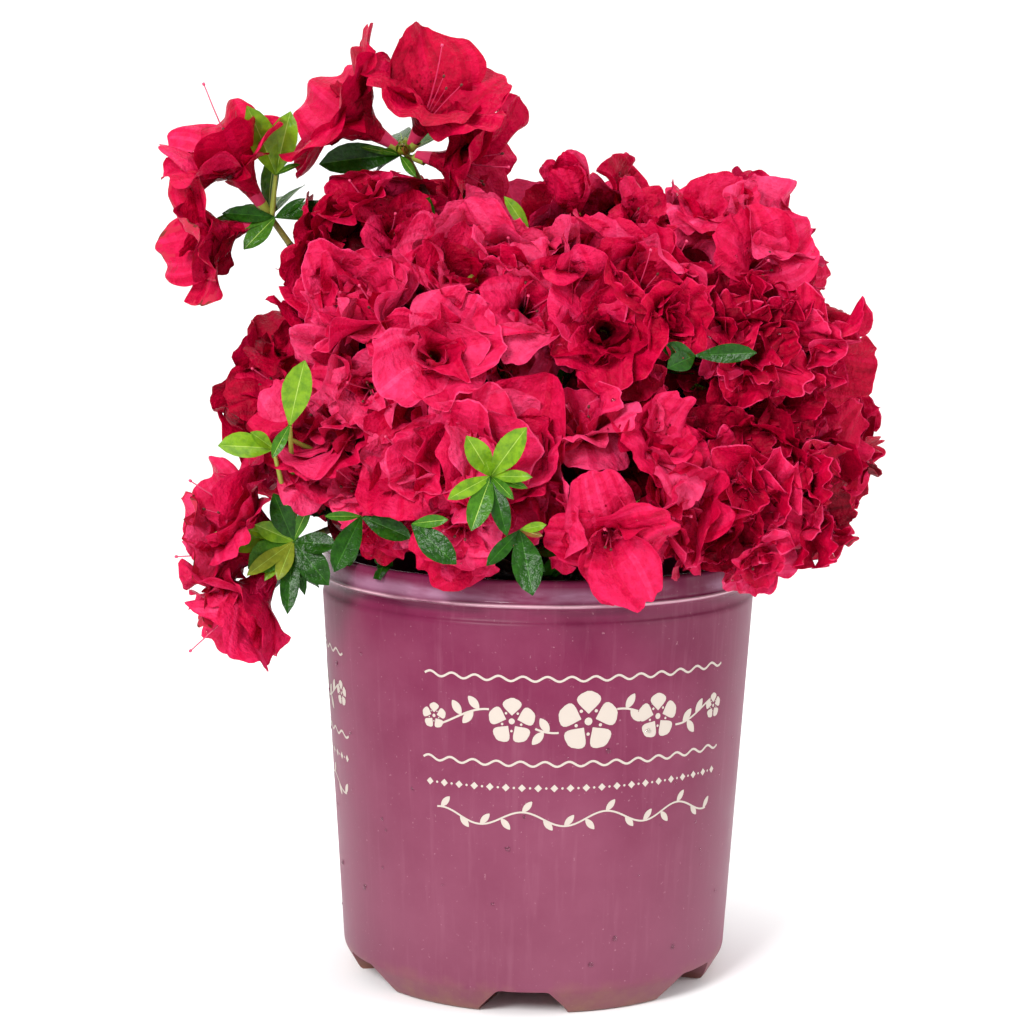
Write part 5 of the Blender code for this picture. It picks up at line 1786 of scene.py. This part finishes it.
def add_lights():
    """Soft lamps and a white sky."""
    for name, spot, size, power in LIGHTS:
        light = bpy.data.lights.new(name, "AREA")
        light.size, light.energy = size, power
        lamp = bpy.data.objects.new(name, light)
        lamp.location = spot
        lamp.rotation_euler = (LIGHTS_AIM - Vector(spot)).to_track_quat("-Z", "Y").to_euler()
        bpy.context.scene.collection.objects.link(lamp)

    world = bpy.data.worlds.new("studio")
    world.use_nodes = True
    sky = world.node_tree.nodes["Background"]
    sky.inputs["Color"].default_value = (1, 1, 1, 1)
    sky.inputs["Strength"].default_value = SKY_STRENGTH
    bpy.context.scene.world = world
    bpy.context.scene.view_settings.view_transform = "Standard"


def add_camera():
    camera = bpy.data.cameras.new("camera")
    camera.lens, camera.sensor_width = CAMERA_LENS, CAMERA_SENSOR
    camera.clip_start, camera.clip_end = 0.01, 50
    viewer = bpy.data.objects.new("camera", camera)
    viewer.location = CAMERA_SPOT
    aim = Matrix.Rotation(math.pi / 2 - CAMERA_DOWN, 4, "X") @ Matrix.Rotation(CAMERA_ROLL, 4, "Z")
    viewer.rotation_euler = aim.to_euler()
    bpy.context.scene.collection.objects.link(viewer)
    bpy.context.scene.camera = viewer


# ---------------------------------------------------------------- the whole plant


def add_foliage(routes):
    """Petals, stamens, leaves, twigs and buds, in pieces that each stand for a few trusses."""
    growths = [growth for growth, _ in routes]
    chance = random.Random(7)
    heaps = {
        "stamens": Heap(["filament", "anther"]),
        "leaves": Heap(LEAF_FINISHES),
        "twigs": Heap(["twig", "stalk"]),
        "buds": Heap(["bud_green", "bud_brown"]),
        "drops": Heap(["water"]),
    }
    nodes = [growth.node() for growth in growths]
    for first in range(0, len(growths), 3):
        group = growths[first : first + 3]
        heaps["petals"] = Heap(PETAL_FINISHES)
        for growth in group:
            planes, hemmed = shared_planes(growth, growths), growth.axis is not None
            bases = []
            for flower in growth.flowers:
                bases.append(add_bloom(heaps, flower, planes, hemmed))
            if hemmed:
                add_heart_shade_petals(heaps["petals"], growth, planes, chance)
            add_twigs(heaps["twigs"], growth, bases)
            for leaf in growth.leaves:
                bounds = [] if leaf.free else planes
                add_leaf(heaps["leaves"], leaf, bounds, hemmed and not leaf.free, chance)
        heaps["petals"].piece(f"petals_{first // 3 + 1}", "petals", [growth.node() for growth in group])
    for growth in growths:
        if growth.axis is None:
            along = (growth.middle - growth.entry).normalized()
            for k in range(4):
                d = clearest(chance, along, 70, [f.facing for f in growth.flowers], 6)
                add_bud(heaps["buds"], growth.middle + d * 0.003, d, chance.uniform(0.007, 0.010), chance)
    heaps["stamens"].piece("stamens", "petals")
    heaps["leaves"].piece("leaf_blades", "petals", nodes)
    heaps["twigs"].piece("twigs_and_stalks", "bark", nodes)
    heaps["buds"].piece("leaf_buds", "petals")
    wet_pot(heaps["drops"])
    heaps["drops"].piece("water_beads", None)


def make_finishes():
    make_petal_tissue()
    make_stamen_tissue()
    make_young_leaf()
    make_mature_leaf()
    make_wood()
    make_pine_bark()
    make_ink_and_water()
    make_pot_plastic()


def main():
    make_finishes()
    add_pot()
    add_print()
    add_mix()
    routes = grow_all()
    add_limbs(routes)
    add_foliage(routes)
    add_floor()
    add_lights()
    add_camera()


main()
